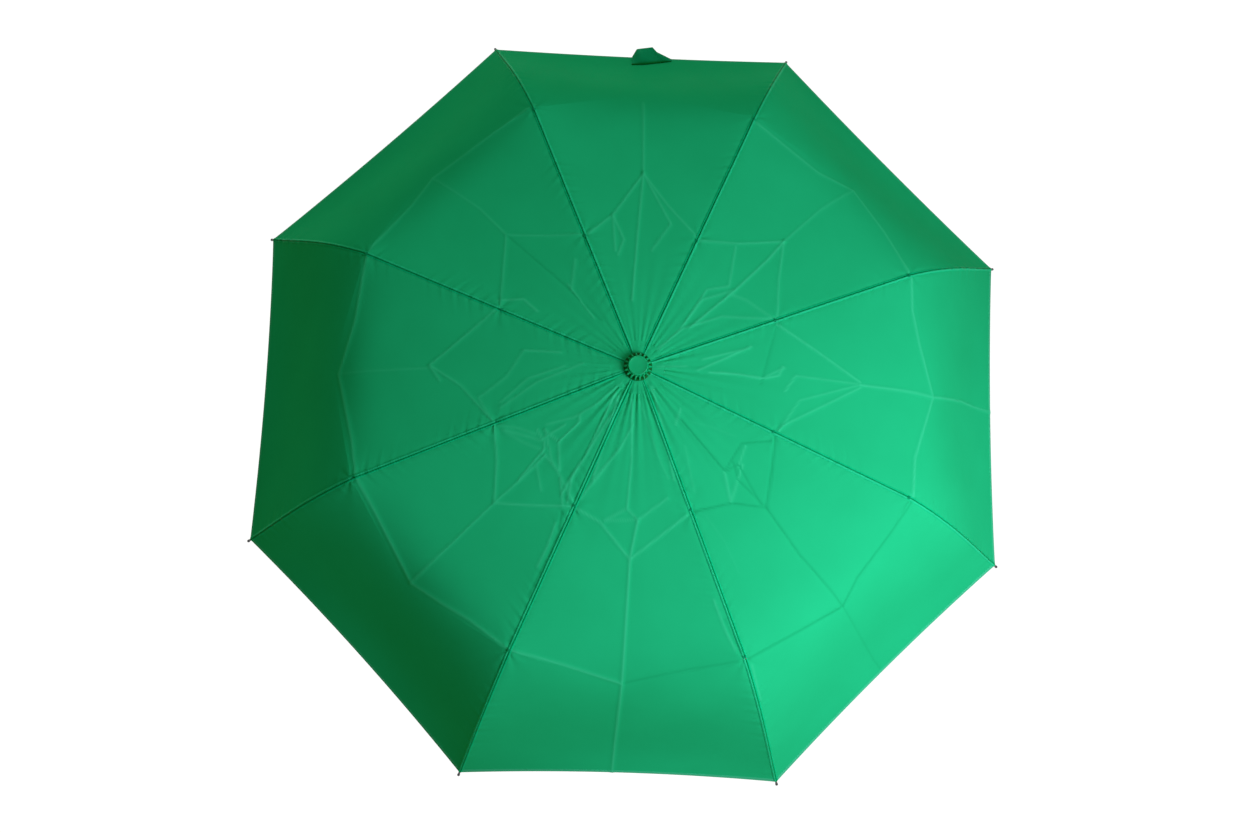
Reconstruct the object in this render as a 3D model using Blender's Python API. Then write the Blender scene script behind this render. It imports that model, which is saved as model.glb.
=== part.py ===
"""Compact folding umbrella, standing open.

Three telescoping steel tubes carry a crown with eight hinged arms.  Each arm is a top rib, a
stretcher, a link, a middle rib and a tail rib, and a runner on the shaft opens and folds them all.
The cloth of eight gores is stretched over the arms and clamped under a fluted cap.

Metres, +Z up the shaft.  The origin is the centre of the handle's flat end.
"""
import cmath
import math

import bmesh
import bpy
from mathutils import Matrix

# Clearance and sheet metal
GAP = 0.0003
OVERRUN = 0.004
BITE = 0.0001
SHEET = 0.0005
ARMS = 8
ROUND = 24
PIN_SIDES = 10

# Telescoping tubes
LOWER_TUBE_R = 0.0049
TUBE_WALL = 0.0005
TUBE_PLAY = 0.0003
TUBE_SLIDE = 0.140
TUBE_STOP = 0.001
LOWER_OVERLAP = 0.030
MIDDLE_LENGTH = 0.186
UPPER_BELOW_PIVOT = 0.220
TUBE_ABOVE_PIVOT = 0.004

# Handle
HANDLE_FLOOR = 0.048
CUP_DEPTH = 0.005
CUP_R = 0.0114
GRIP_TOP_R = 0.0146
GRIP_WAIST_R = 0.0122
GRIP_END_R = 0.0138
END_CAP_HEIGHT = 0.006
END_CAP_ROUND = 0.0015
SOCKET_FLOOR = 0.012
HANDLE_PIN_R = 0.0012
HANDLE_PIN_UP = 0.030

# Catches in the tubes and on the runner
CATCH_R = 0.0014
CATCH_BELOW_TOP = 0.008
CATCH_TRAVEL = 0.0015
CATCH_DOME = 0.0003
CATCH_ROOT = 0.0020
LEAF_RISE = 0.0060
LEAF_HALF_WIDTH = 0.0013
LEAF_THICK = 0.0006

# Crown
RING_R = 0.0095
RING_WIRE_R = 0.0005
NOTCH_R = 0.0110
NOTCH_BELOW = 0.0032
NOTCH_ABOVE = 0.0055
NOTCH_ROOF = 0.0012
NOTCH_HOLE_R = 0.0026
NOTCH_CORE = 0.0006
TONGUE_HALF_WIDTH = 0.0008
TONGUE_PLAY = 0.0004
CAP_R = 0.0160
CAP_FLUTES = 18
FLUTE_DEPTH = 0.0036
CAP_SKIRT = 0.0028
CAP_SHOULDER = 0.0038
CAP_SHOULDER_IN = 0.0030
DISC_R = 0.0120
DISC_THICK = 0.0024
DISC_ROUND = 0.0006
CAP_STEM_DROP = 0.0028

# Arm members
RIB_WIDTH = 0.0030
RIB_DEPTH = 0.0026
SIDE_PLAY = 0.00035
EYE_R = 0.0016
PIN_R = 0.0006
HEAD_R = 0.0011
HEAD_THICK = 0.0003
KNEE_CLEAR = 0.0004
KNEE_R = 0.1650
KNEE_DROP = 0.0180
ELBOW_R = 0.3314
ELBOW_DROP = 0.0417
TIP_R = 0.4830
TIP_DROP = 0.1985
STRETCHER_LENGTH = 0.1040
JOINT_SHARE = 0.8846
LINK_ALONG = 0.0120
LINK_THICK = 0.0007
LINK_HALF_DEPTH = 0.0009
LINK_EYE_R = 0.0013
RIB_TONGUE = 0.0070
STRETCHER_TONGUE = 0.0140
STRETCHER_EDGE = 0.0003
STRETCHER_NOSE_R = 0.0012
FORK_REACH = 0.0075
CLOSED_ELBOW_R = 0.0205
CLOSED_TIP_R = 0.0172

# Tail rib
TAIL_ROOT_R = 0.0013
TAIL_END_R = 0.0009
TAIL_START = 0.0035
TAIL_TONGUE = 0.0090
TAIL_FIRST_RISE = 16.7
TAIL_LAST_DIP = 4.3
HANDLE_SHARE = 0.35
TAIL_STEPS = 12
TIP_PIN_R = 0.0013
TIP_PIN_LENGTH = 0.0050
TIP_BALL_R = 0.0017

# Runner
RUNNER_HUB_R = 0.0106
HUB_HALF_HEIGHT = 0.0028
RUNNER_PLAY = 0.0003
RUNNER_NECK_R = 0.0078
RUNNER_BODY_R = 0.0086
RUNNER_GRIP_R = 0.0092
RUNNER_FLANGE_R = 0.0102
NECK_DROP = 0.0060
BODY_DROP = 0.0120
GRIP_DROP = 0.0190
RUNNER_BELOW = 0.0215
BUTTON_DROP = 0.0125
BUTTON_HALF_WIDTH = 0.0016
BUTTON_HALF_HEIGHT = 0.0055
BUTTON_INNER_R = 0.0075
BUTTON_PAD_R = 0.0096
BUTTON_HINGE_R = 0.0082
NOSE_HEIGHT = 0.0020
NOSE_HALF_WIDTH = 0.0011
BUTTON_SWING = 10.0

# Cloth
CLOTH = 0.0006
CLOTH_EASE_SHARE = 0.0065
CLOTH_HOLE_R = 0.0032
CLOTH_FLAT_R = 0.0116
KNEE_EASE = 0.0008
ELBOW_EASE = 0.0012
MID_FOLD_R = 0.2150
MID_FOLD_DROP = 0.0284
MID_CREASE_R = 0.3410
MID_CREASE_DROP = 0.0734
MID_SWELL = 0.0062
HEM_HOLLOW = 0.0040
MID_TAIL_SWELL = 0.0090
GORE_COLUMNS = 6
INNER_SHARES = (0.3, 0.65)
OUTER_SHARES = (0.5,)
TAIL_SHARES = (0.08, 0.25, 0.48, 0.74, 1.0)

# Tie strap, folded over the hem
STRAP_WIDTH = 0.046
STRAP_REACH = 0.030
STRAP_OVERHANG = 0.014
STRAP_LAYER = 0.0009
STRAP_RISE = 0.0052
STRAP_LIFT = 0.0008
PATCH_WIDTH = 0.020
PATCH_DEPTH = 0.014
PATCH_THICK = 0.0009

# Heights, radii and places that follow from the sizes above
JOINT_ALONG = JOINT_SHARE * STRETCHER_LENGTH
PITCH = 2 * math.pi / ARMS
MIDDLE_TUBE_R = LOWER_TUBE_R + TUBE_PLAY + TUBE_WALL
UPPER_TUBE_R = MIDDLE_TUBE_R + TUBE_PLAY + TUBE_WALL
UPPER_BOTTOM_Z = HANDLE_FLOOR + TUBE_STOP + 2 * TUBE_SLIDE
MIDDLE_BOTTOM_Z = HANDLE_FLOOR + TUBE_STOP + TUBE_SLIDE
PIVOT_Z = UPPER_BOTTOM_Z + UPPER_BELOW_PIVOT
LOWER_TOP_Z = MIDDLE_BOTTOM_Z + LOWER_OVERLAP
MIDDLE_TOP_Z = MIDDLE_BOTTOM_Z + MIDDLE_LENGTH
LOWER_CATCH_Z = LOWER_TOP_Z - CATCH_BELOW_TOP
MIDDLE_CATCH_Z = MIDDLE_TOP_Z - CATCH_BELOW_TOP
NOTCH_TOP_Z = PIVOT_Z + NOTCH_ABOVE
CAP_Z = NOTCH_TOP_Z + GAP + CLOTH + GAP
KNEE_LIFT = RIB_DEPTH / 2 + KNEE_CLEAR
ELBOW_SINK = 2 * KNEE_LIFT
PIN_HOLE_R = PIN_R + GAP
FORK_IN = RIB_WIDTH / 2 + SIDE_PLAY
FORK_OUT = FORK_IN + SHEET
HEAD_Y = FORK_OUT + HEAD_THICK
LINK_IN = HEAD_Y + GAP
LINK_OUT = LINK_IN + LINK_THICK

STEEL = (0.055, 0.058, 0.062, 1.0)
BRIGHT_STEEL = (0.60, 0.61, 0.62, 1.0)
GREEN_CLOTH = (0.0, 0.36, 0.16, 1.0)
GREEN_PLASTIC = (0.0, 0.33, 0.13, 1.0)
BLACK_PLASTIC = (0.02, 0.02, 0.022, 1.0)


def clear_scene():
    for old in list(bpy.data.objects):
        bpy.data.objects.remove(old, do_unlink=True)


def finish(name, color, metallic, roughness):
    mat = bpy.data.materials.get(name) or bpy.data.materials.new(name)
    mat.use_nodes = True
    shader = mat.node_tree.nodes["Principled BSDF"]
    shader.inputs["Base Color"].default_value = color
    shader.inputs["Metallic"].default_value = metallic
    shader.inputs["Roughness"].default_value = roughness
    mat.diffuse_color = color
    return mat


def place(name, mesh, color, metallic=0.0, roughness=0.5, at=(0, 0, 0), turn=(0, 0, 0), parent=None):
    """One named object with its own material, set at its place."""
    obj = bpy.data.objects.new(name, mesh)
    bpy.context.scene.collection.objects.link(obj)
    obj.location = at
    obj.rotation_euler = turn
    obj.parent = parent
    if not mesh.materials:
        mesh.materials.append(finish(name.rstrip("_12345678"), color, metallic, roughness))
    return obj


# Mesh makers

def mesh_from(bm, name, flip=True):
    if flip:
        bmesh.ops.recalc_face_normals(bm, faces=bm.faces)
    mesh = bpy.data.meshes.new(name)
    bm.to_mesh(mesh)
    bm.free()
    return mesh


def arc(center, radius, start, end, steps):
    """Points on an arc in the side plane, angles in degrees."""
    turn = (end - start) / steps
    return [center + cmath.rect(radius, math.radians(start + turn * i)) for i in range(steps + 1)]


def plate(outline, near, far):
    """A side-view outline (x along, z up) made solid from y = near to y = far."""
    bm = bmesh.new()
    ring = [bm.verts.new((p.real, near, p.imag)) for p in outline]
    face = bm.faces.new(ring)
    grown = bmesh.ops.extrude_face_region(bm, geom=[face])
    moved = [v for v in grown["geom"] if isinstance(v, bmesh.types.BMVert)]
    bmesh.ops.translate(bm, verts=moved, vec=(0, far - near, 0))
    return mesh_from(bm, "plate")


def box(x0, x1, y0, y1, z0, z1):
    return plate([complex(x0, z0), complex(x1, z0), complex(x1, z1), complex(x0, z1)], y0, y1)


def rod(center, radius, near, far, sides=PIN_SIDES):
    """A round pin across the arm, along y."""
    return plate(arc(center, radius, 0, 360 - 360 / sides, sides - 1), near, far)


def loft(rings, closed=False):
    """Skin over rings of points, with flat ends unless the last ring meets the first again."""
    bm = bmesh.new()
    levels = [[bm.verts.new(p) for p in ring] for ring in rings]
    pairs = list(zip(levels, levels[1:]))
    if closed:
        pairs.append((levels[-1], levels[0]))
    for one, two in pairs:
        for j in range(len(one)):
            k = (j + 1) % len(one)
            bm.faces.new((one[j], one[k], two[k], two[j]))
    if not closed:
        bm.faces.new(levels[0])
        bm.faces.new(levels[-1])
    return mesh_from(bm, "loft")


def circle(radius, z, sides=ROUND):
    spots = [cmath.rect(radius, 2 * math.pi * i / sides) for i in range(sides)]
    return [(p.real, p.imag, z) for p in spots]


def lathe(profile, sides=ROUND):
    """A closed (r, z) profile turned about the shaft."""
    rings = []
    for i in range(sides):
        spin = cmath.rect(1.0, 2 * math.pi * i / sides)
        rings.append([(r * spin.real, r * spin.imag, z) for r, z in profile])
    return loft(rings, closed=True)


def post(levels, sides=ROUND, turn=None):
    """A solid round post through (radius, z) levels, or the same turned another way."""
    mesh = loft([circle(radius, z, sides) for radius, z in levels])
    if turn:
        mesh.transform(turn)
    return mesh


def tube(points, radii, sides):
    """A capped round wire through points of the side plane (y = 0)."""
    rings = []
    for i, (p, radius) in enumerate(zip(points, radii)):
        along = points[min(i + 1, len(points) - 1)] - points[max(i - 1, 0)]
        normal = along / abs(along) * 1j
        ring = []
        for j in range(sides):
            a = 2 * math.pi * (j + 0.5) / sides
            q = p + normal * radius * math.cos(a)
            ring.append((q.real, radius * math.sin(a), q.imag))
        rings.append(ring)
    return loft(rings)


def hoop(start, end, steps, sides=6):
    """A stretch of ring wire at the pivot circle, or the whole ring; angles in radians."""
    whole = end - start > 2 * math.pi - BITE
    rings = []
    for i in range(steps if whole else steps + 1):
        spin = cmath.rect(1.0, start + (end - start) * i / steps)
        ring = []
        for j in range(sides):
            b = 2 * math.pi * j / sides
            r = RING_R + RING_WIRE_R * math.cos(b)
            ring.append((r * spin.real, r * spin.imag, RING_WIRE_R * math.sin(b)))
        rings.append(ring)
    return loft(rings, closed=whole)


def shaped(base, joins=(), cuts=(), solver="EXACT"):
    """The mesh of a base solid with others fused on, and then others cut away."""
    body = bpy.data.objects.new("blank", base)
    tools = []
    bpy.context.scene.collection.objects.link(body)
    for kind, group in (("UNION", joins), ("DIFFERENCE", cuts)):
        for mesh in group:
            tool = bpy.data.objects.new("tool", mesh)
            bpy.context.scene.collection.objects.link(tool)
            tool.hide_render = True
            tool.display_type = "WIRE"
            step = body.modifiers.new(kind.lower(), "BOOLEAN")
            step.operation = kind
            step.solver = solver
            step.object = tool
            tools.append(tool)
    graph = bpy.context.evaluated_depsgraph_get()
    made = bpy.data.meshes.new_from_object(body.evaluated_get(graph))
    for old in tools + [body]:
        bpy.data.objects.remove(old, do_unlink=True)
    return made


# Arm linkage, worked out in the arm's own plane: r + z j, z from the crown's pivots

def toward(angle):
    return cmath.rect(1.0, angle)


def arm_angle(arm):
    """Direction of an arm round the shaft; the first gore's middle lies along x."""
    return arm * PITCH + PITCH / 2


def fold_angle(along, sink):
    """Angle between a member's centre line and the line to a pivot that lies off it."""
    return math.asin(sink / along)


def linkage():
    """Places of the pivots and directions of the members, open and folded."""
    crown = complex(RING_R, 0)
    knee = complex(KNEE_R, -KNEE_DROP)
    elbow = complex(ELBOW_R, -ELBOW_DROP)
    tip = complex(TIP_R, -TIP_DROP)
    reach = abs(knee - crown)
    span = abs(elbow - knee)
    top = cmath.phase(knee - crown) - fold_angle(reach, KNEE_LIFT)
    middle = cmath.phase(elbow - knee) + fold_angle(span, ELBOW_SINK)
    tail = cmath.phase(tip - elbow)
    top_length = math.sqrt(reach ** 2 - KNEE_LIFT ** 2)
    joint = crown + JOINT_ALONG * toward(top)
    drop = math.sqrt(STRETCHER_LENGTH ** 2 - (joint.real - RING_R) ** 2)
    hub = complex(RING_R, joint.imag - drop)
    stretcher = cmath.phase(hub - joint)
    pin = joint + LINK_ALONG * toward(stretcher)

    down = -math.pi / 2
    joint_f = crown + JOINT_ALONG * toward(down)
    hub_f = joint_f + STRETCHER_LENGTH * toward(down)
    knee_f = crown + top_length * toward(down) + KNEE_LIFT
    pin_f = joint_f + LINK_ALONG * toward(down)
    out = CLOSED_ELBOW_R - knee_f.real
    elbow_f = complex(CLOSED_ELBOW_R, knee_f.imag + math.sqrt(span ** 2 - out ** 2))
    middle_f = cmath.phase(elbow_f - knee_f) + fold_angle(span, ELBOW_SINK)
    chord = abs(tip - elbow)
    side = CLOSED_TIP_R - elbow_f.real
    tail_f = cmath.phase(complex(side, -math.sqrt(chord ** 2 - side ** 2)))

    here = knee - pin - KNEE_LIFT * 1j * toward(middle)
    there = knee_f - pin_f - KNEE_LIFT * 1j * toward(middle_f)
    pull = (here / -toward(middle)).real - (there / -toward(middle_f)).real
    lever = (abs(there) ** 2 - abs(here) ** 2) / (2 * pull)
    horn = knee - complex(lever, KNEE_LIFT) * toward(middle)
    horn_f = knee_f - complex(lever, KNEE_LIFT) * toward(middle_f)
    return {
        "crown": crown, "knee": knee, "elbow": elbow, "tip": tip, "joint": joint, "hub": hub,
        "pin": pin, "horn": horn, "lever": lever, "top_length": top_length,
        "middle_length": math.sqrt(span ** 2 - ELBOW_SINK ** 2), "link_length": abs(horn - pin),
        "hub_drop_open": -hub.imag, "hub_drop_folded": -hub_f.imag,
        "open": {"top": top, "stretcher": stretcher, "middle": middle, "tail": tail,
                 "link": cmath.phase(horn - pin)},
        "folded": {"top": down, "stretcher": down, "middle": middle_f, "tail": tail_f,
                   "link": cmath.phase(horn_f - pin_f)},
    }


LINKS = linkage()
HUB_Z = PIVOT_Z - LINKS["hub_drop_open"]


def pin_with_heads(center):
    """A rivet across a fork, with a head on each outer face."""
    heads = [rod(center, HEAD_R, FORK_OUT - BITE, HEAD_Y), rod(center, HEAD_R, -HEAD_Y, BITE - FORK_OUT)]
    return [rod(center, PIN_R, BITE - FORK_OUT, FORK_OUT - BITE)] + heads


def hole(center, radius=PIN_HOLE_R):
    return rod(center, radius, -HEAD_Y - OVERRUN, HEAD_Y + OVERRUN)


def top_rib_mesh():
    """Channel, open below, with a flat eye at the crown and a raised knuckle at the knee."""
    half = RIB_DEPTH / 2
    end = LINKS["top_length"]
    knee = complex(end, KNEE_LIFT)
    outline = [complex(RIB_TONGUE, -half), complex(end - EYE_R / 2, -half)]
    outline += arc(knee, EYE_R, -60, 180, 8)
    outline += [complex(end - EYE_R - KNEE_CLEAR, half), complex(RIB_TONGUE, half)]
    rim = half - BITE
    eye = arc(0, EYE_R, 90, 270, 6)
    tongue = eye + [complex(RIB_TONGUE + SHEET, -rim), complex(RIB_TONGUE + SHEET, rim)]
    hollow = RIB_WIDTH / 2 - SHEET
    cavity = box(RIB_TONGUE + 2 * SHEET, end - EYE_R - SHEET, -hollow, hollow,
                 -half - OVERRUN, half - SHEET)
    return shaped(
        plate(outline, -RIB_WIDTH / 2, RIB_WIDTH / 2),
        joins=[plate(tongue, -TONGUE_HALF_WIDTH, TONGUE_HALF_WIDTH)],
        cuts=[cavity, hole(0, RING_WIRE_R + 1.5 * GAP), hole(JOINT_ALONG), hole(knee)])


def stretcher_mesh():
    """Wider channel that takes the top rib in when folded; fork at one end, tongue at the other."""
    length = STRETCHER_LENGTH
    web = RIB_DEPTH / 2 + KNEE_CLEAR + SHEET
    fork = LINK_ALONG + EYE_R + KNEE_CLEAR
    end = length - STRETCHER_TONGUE
    outline = arc(0, EYE_R, 90, 225, 5)
    outline += [complex(EYE_R / 2, -web), complex(end, -web), complex(end, -STRETCHER_EDGE)]
    outline += [complex(fork + RIB_WIDTH, -STRETCHER_EDGE), complex(fork, EYE_R)]
    high = EYE_R + OVERRUN
    inside = [complex(-high, -high), complex(FORK_REACH, -high), complex(FORK_REACH, SHEET - web)]
    inside += [complex(end - 2 * SHEET, SHEET - web), complex(end - 2 * SHEET, high)]
    cavity = plate(inside + [complex(-high, high)], -FORK_IN, FORK_IN)
    tongue = [complex(end - SHEET, -STRETCHER_EDGE - BITE), complex(end - SHEET, BITE - web)]
    nose = length - RING_WIRE_R - GAP - STRETCHER_NOSE_R
    tongue += [complex(nose - RIB_DEPTH, -STRETCHER_NOSE_R)]
    tongue += arc(nose, STRETCHER_NOSE_R, -90, 90, 6)
    tongue += [complex(nose - RIB_DEPTH, STRETCHER_NOSE_R)]
    side_hole = rod(LINK_ALONG, PIN_HOLE_R, 0, FORK_OUT + OVERRUN)
    return shaped(
        shaped(plate(outline, -FORK_OUT, FORK_OUT), cuts=[cavity, side_hole], solver="MANIFOLD"),
        joins=[plate(tongue, -TONGUE_HALF_WIDTH, TONGUE_HALF_WIDTH)] + pin_with_heads(0),
        solver="MANIFOLD")


def link_mesh():
    """Flat steel bar beside the fork, with a pin through the stretcher's cheek."""
    length = LINKS["link_length"]
    outline = arc(0, LINK_EYE_R, 45, 315, 6) + arc(length, LINK_EYE_R, 225, 495, 6)
    pins = [rod(0, PIN_R, FORK_IN - BITE / 2, LINK_IN + BITE)]
    pins += [rod(c, HEAD_R, LINK_OUT - BITE, LINK_OUT + HEAD_THICK) for c in (0, length)]
    return shaped(plate(outline, LINK_IN, LINK_OUT), joins=pins, solver="MANIFOLD")


def middle_rib_mesh():
    """Channel, open below, forked round the top rib's end, with a lever beyond the knee."""
    top = -KNEE_CLEAR
    low = top - RIB_DEPTH
    length, lever = LINKS["middle_length"], LINKS["lever"]
    elbow = complex(length, -ELBOW_SINK)
    start = EYE_R + SHEET + BITE
    half = RIB_DEPTH / 2
    outline = arc(complex(-lever, top - half), half, 90, 270, 6)
    outline += [complex(length - RIB_WIDTH, low)] + arc(elbow, EYE_R, 210, 420, 7)
    outline += [complex(length, top), complex(EYE_R + KNEE_CLEAR, top)]
    outline += arc(0, EYE_R, 0, 180, 7) + [complex(-EYE_R - KNEE_CLEAR, top)]
    far, deep = length + OVERRUN, -ELBOW_SINK - OVERRUN
    inside = [complex(-lever - OVERRUN, deep), complex(far, deep), complex(far, top - SHEET)]
    inside += [complex(start, top - SHEET), complex(start, OVERRUN), complex(-lever - OVERRUN, OVERRUN)]
    return shaped(
        shaped(plate(outline, -FORK_OUT, FORK_OUT), cuts=[plate(inside, -FORK_IN, FORK_IN)],
               solver="MANIFOLD"),
        joins=pin_with_heads(0) + pin_with_heads(elbow), solver="MANIFOLD")


def tail_curve():
    """Centre line of the tail wire, from above the elbow to its tip, in the arm's plane."""
    lift = ELBOW_SINK - KNEE_CLEAR - TAIL_ROOT_R
    first = LINKS["elbow"] + lift * 1j * toward(LINKS["open"]["middle"])
    last = LINKS["tip"]
    hand = abs(last - first) * HANDLE_SHARE
    chord = LINKS["open"]["tail"]
    one = first + hand * toward(chord + math.radians(TAIL_FIRST_RISE))
    two = last - hand * toward(chord - math.radians(TAIL_LAST_DIP))

    def at(t):
        s = 1 - t
        return s ** 3 * first + 3 * s * s * t * one + 3 * s * t * t * two + t ** 3 * last
    return at


def tail_rib_mesh():
    """Spring wire, tapered and bowed by the cloth, with a flat eye and a ball-ended tip."""
    curve = tail_curve()
    back = 1 / toward(LINKS["open"]["tail"])
    span = abs(LINKS["tip"] - LINKS["elbow"])
    start = TAIL_START / span
    stops = [start + (1 - start) * i / TAIL_STEPS for i in range(TAIL_STEPS + 1)]
    points = [(curve(t) - LINKS["elbow"]) * back for t in stops]
    radii = [TAIL_ROOT_R + (TAIL_END_R - TAIL_ROOT_R) * t for t in stops]
    wire = tube(points, radii, 8)
    far = (curve(TAIL_TONGUE / span) - LINKS["elbow"]) * back
    way = (points[1] - points[0]) / abs(points[1] - points[0])
    rim = TAIL_ROOT_R - BITE
    root = (points[0] - 0) - way * BITE
    tongue = arc(0, EYE_R, 90, 270, 6)
    tongue += [far - way * 1j * rim, far + way * 1j * rim, root + way * 1j * rim]
    tongue = shaped(plate(tongue, -RIB_WIDTH / 2, RIB_WIDTH / 2), cuts=[hole(0)])
    aim = (points[-1] - points[-2]) / abs(points[-1] - points[-2])
    along = (-BITE, TIP_PIN_LENGTH, TIP_PIN_LENGTH + TIP_BALL_R / 2, TIP_PIN_LENGTH + 1.5 * TIP_BALL_R,
             TIP_PIN_LENGTH + 2 * TIP_BALL_R)
    wide = (TIP_PIN_R, TIP_PIN_R, TIP_BALL_R, TIP_BALL_R, TIP_PIN_R / 2)
    tip = tube([points[-1] + aim * a for a in along], wide, 8)
    return shaped(tongue, joins=[wire, tip])


def build_arms():
    """Eight arms round the shaft, each on its own empty, with every member on its own pivot."""
    meshes = {"top_rib": top_rib_mesh(), "stretcher": stretcher_mesh(), "link_rod": link_mesh(),
              "middle_rib": middle_rib_mesh(), "tail_rib": tail_rib_mesh()}
    pivots = {"top_rib": ("crown", "top"), "stretcher": ("joint", "stretcher"),
              "link_rod": ("pin", "link"), "middle_rib": ("knee", "middle"),
              "tail_rib": ("elbow", "tail")}
    for arm in range(ARMS):
        frame = bpy.data.objects.new("arm_" + str(arm + 1), None)
        bpy.context.scene.collection.objects.link(frame)
        frame.location = (0, 0, PIVOT_Z)
        frame.rotation_euler = (0, 0, arm_angle(arm))
        for kind, mesh in meshes.items():
            at, angle = LINKS[pivots[kind][0]], LINKS["open"][pivots[kind][1]]
            place(kind + "_" + str(arm + 1), mesh, STEEL, 1.0, 0.4,
                  at=(at.real, 0, at.imag), turn=(0, -angle, 0), parent=frame)


# Shaft

def side_bore(radius, z, reach):
    """Round cutter along -x, for a catch in a tube wall."""
    turn = Matrix.Translation((0, 0, z)) @ Matrix.Rotation(-math.pi / 2, 4, "Y")
    return post(((radius, 0), (radius, reach)), PIN_SIDES, turn)


def tube_mesh(outer, low, high, cuts=()):
    inner = outer - TUBE_WALL
    return shaped(lathe([(inner, low), (outer, low), (outer, high), (inner, high)]), cuts=cuts)


def catch_mesh(face_r):
    """Domed button on a short spring leaf, lying along -x."""
    levels = ((CATCH_R, CATCH_ROOT), (CATCH_R, face_r - CATCH_DOME), (CATCH_R / 2, face_r))
    button = post(levels, PIN_SIDES, Matrix.Rotation(-math.pi / 2, 4, "Y"))
    leaf = box(-CATCH_ROOT - LEAF_THICK, -CATCH_ROOT, -LEAF_HALF_WIDTH, LEAF_HALF_WIDTH,
               -LEAF_HALF_WIDTH, LEAF_RISE)
    return shaped(button, joins=[leaf])


def build_shaft():
    bore = CATCH_R + GAP
    socket = SOCKET_FLOOR + TUBE_STOP / 2
    pin = HANDLE_PIN_R + GAP
    across = Matrix.Translation((0, 0, HANDLE_PIN_UP)) @ Matrix.Rotation(math.pi / 2, 4, "X")
    reach = GRIP_TOP_R + OVERRUN
    through = post(((pin, -reach), (pin, reach)), PIN_SIDES, across)
    lower = tube_mesh(LOWER_TUBE_R, socket, LOWER_TOP_Z,
                      [side_bore(bore, LOWER_CATCH_Z, LOWER_TUBE_R + OVERRUN), through])
    place("lower_tube", lower, BRIGHT_STEEL, 1.0, 0.25)
    middle = tube_mesh(MIDDLE_TUBE_R, MIDDLE_BOTTOM_Z, MIDDLE_TOP_Z,
                       [side_bore(bore, LOWER_CATCH_Z, MIDDLE_TUBE_R + OVERRUN),
                        side_bore(bore, MIDDLE_CATCH_Z, MIDDLE_TUBE_R + OVERRUN)])
    place("middle_tube", middle, BRIGHT_STEEL, 1.0, 0.25)
    nose_z = HUB_Z - BUTTON_DROP + BUTTON_HALF_HEIGHT - NOSE_HEIGHT / 2
    slot = box(0, UPPER_TUBE_R + OVERRUN, -NOSE_HALF_WIDTH - GAP, NOSE_HALF_WIDTH + GAP,
               nose_z - NOSE_HEIGHT / 2 - 2 * GAP, nose_z + NOSE_HEIGHT / 2 + 2 * GAP)
    upper = tube_mesh(UPPER_TUBE_R, UPPER_BOTTOM_Z, PIVOT_Z + TUBE_ABOVE_PIVOT,
                      [side_bore(bore, MIDDLE_CATCH_Z, UPPER_TUBE_R + OVERRUN), slot])
    place("upper_tube", upper, BRIGHT_STEEL, 1.0, 0.25)
    place("lower_catch", catch_mesh(LOWER_TUBE_R), BRIGHT_STEEL, 1.0, 0.3, at=(0, 0, LOWER_CATCH_Z))
    place("middle_catch", catch_mesh(MIDDLE_TUBE_R), BRIGHT_STEEL, 1.0, 0.3,
          at=(0, 0, MIDDLE_CATCH_Z))
    pin_mesh = post(((HANDLE_PIN_R, -CUP_R), (HANDLE_PIN_R, CUP_R)), PIN_SIDES, across)
    place("handle_pin", pin_mesh, BRIGHT_STEEL, 1.0, 0.3)
    return through


# Handle

def build_handle(through):
    tube_r = LOWER_TUBE_R + GAP
    rim = HANDLE_FLOOR + CUP_DEPTH
    foot = END_CAP_HEIGHT + GAP
    waist = foot + (rim - foot) / 2
    profile = [(tube_r, SOCKET_FLOOR), (tube_r, HANDLE_FLOOR), (CUP_R, HANDLE_FLOOR), (CUP_R, rim),
               (GRIP_TOP_R - GAP, rim), (GRIP_TOP_R, HANDLE_FLOOR),
               (GRIP_TOP_R - (GRIP_TOP_R - GRIP_WAIST_R) / 2, (waist + rim) / 2),
               (GRIP_WAIST_R, waist), (GRIP_WAIST_R + (GRIP_END_R - GRIP_WAIST_R) / 2, (waist + foot) / 2),
               (GRIP_END_R, foot), (tube_r - TUBE_WALL, foot), (tube_r - TUBE_WALL, SOCKET_FLOOR)]
    place("handle_grip", shaped(lathe(profile), cuts=[through]), GREEN_PLASTIC, 0.0, 0.6)
    levels = ((GRIP_END_R - END_CAP_ROUND, 0), (GRIP_END_R, END_CAP_ROUND),
              (GRIP_END_R, END_CAP_HEIGHT))
    place("handle_end_cap", post(levels), GREEN_PLASTIC, 0.0, 0.5)


# Runner

def slots(inner, outer, low, high):
    """Eight radial cutters for the rib ends."""
    wide = TONGUE_HALF_WIDTH + TONGUE_PLAY
    cutters = []
    for arm in range(ARMS):
        cutter = box(inner, outer + OVERRUN, -wide, wide, low, high)
        cutter.transform(Matrix.Rotation(arm_angle(arm), 4, "Z"))
        cutters.append(cutter)
    return cutters


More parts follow.
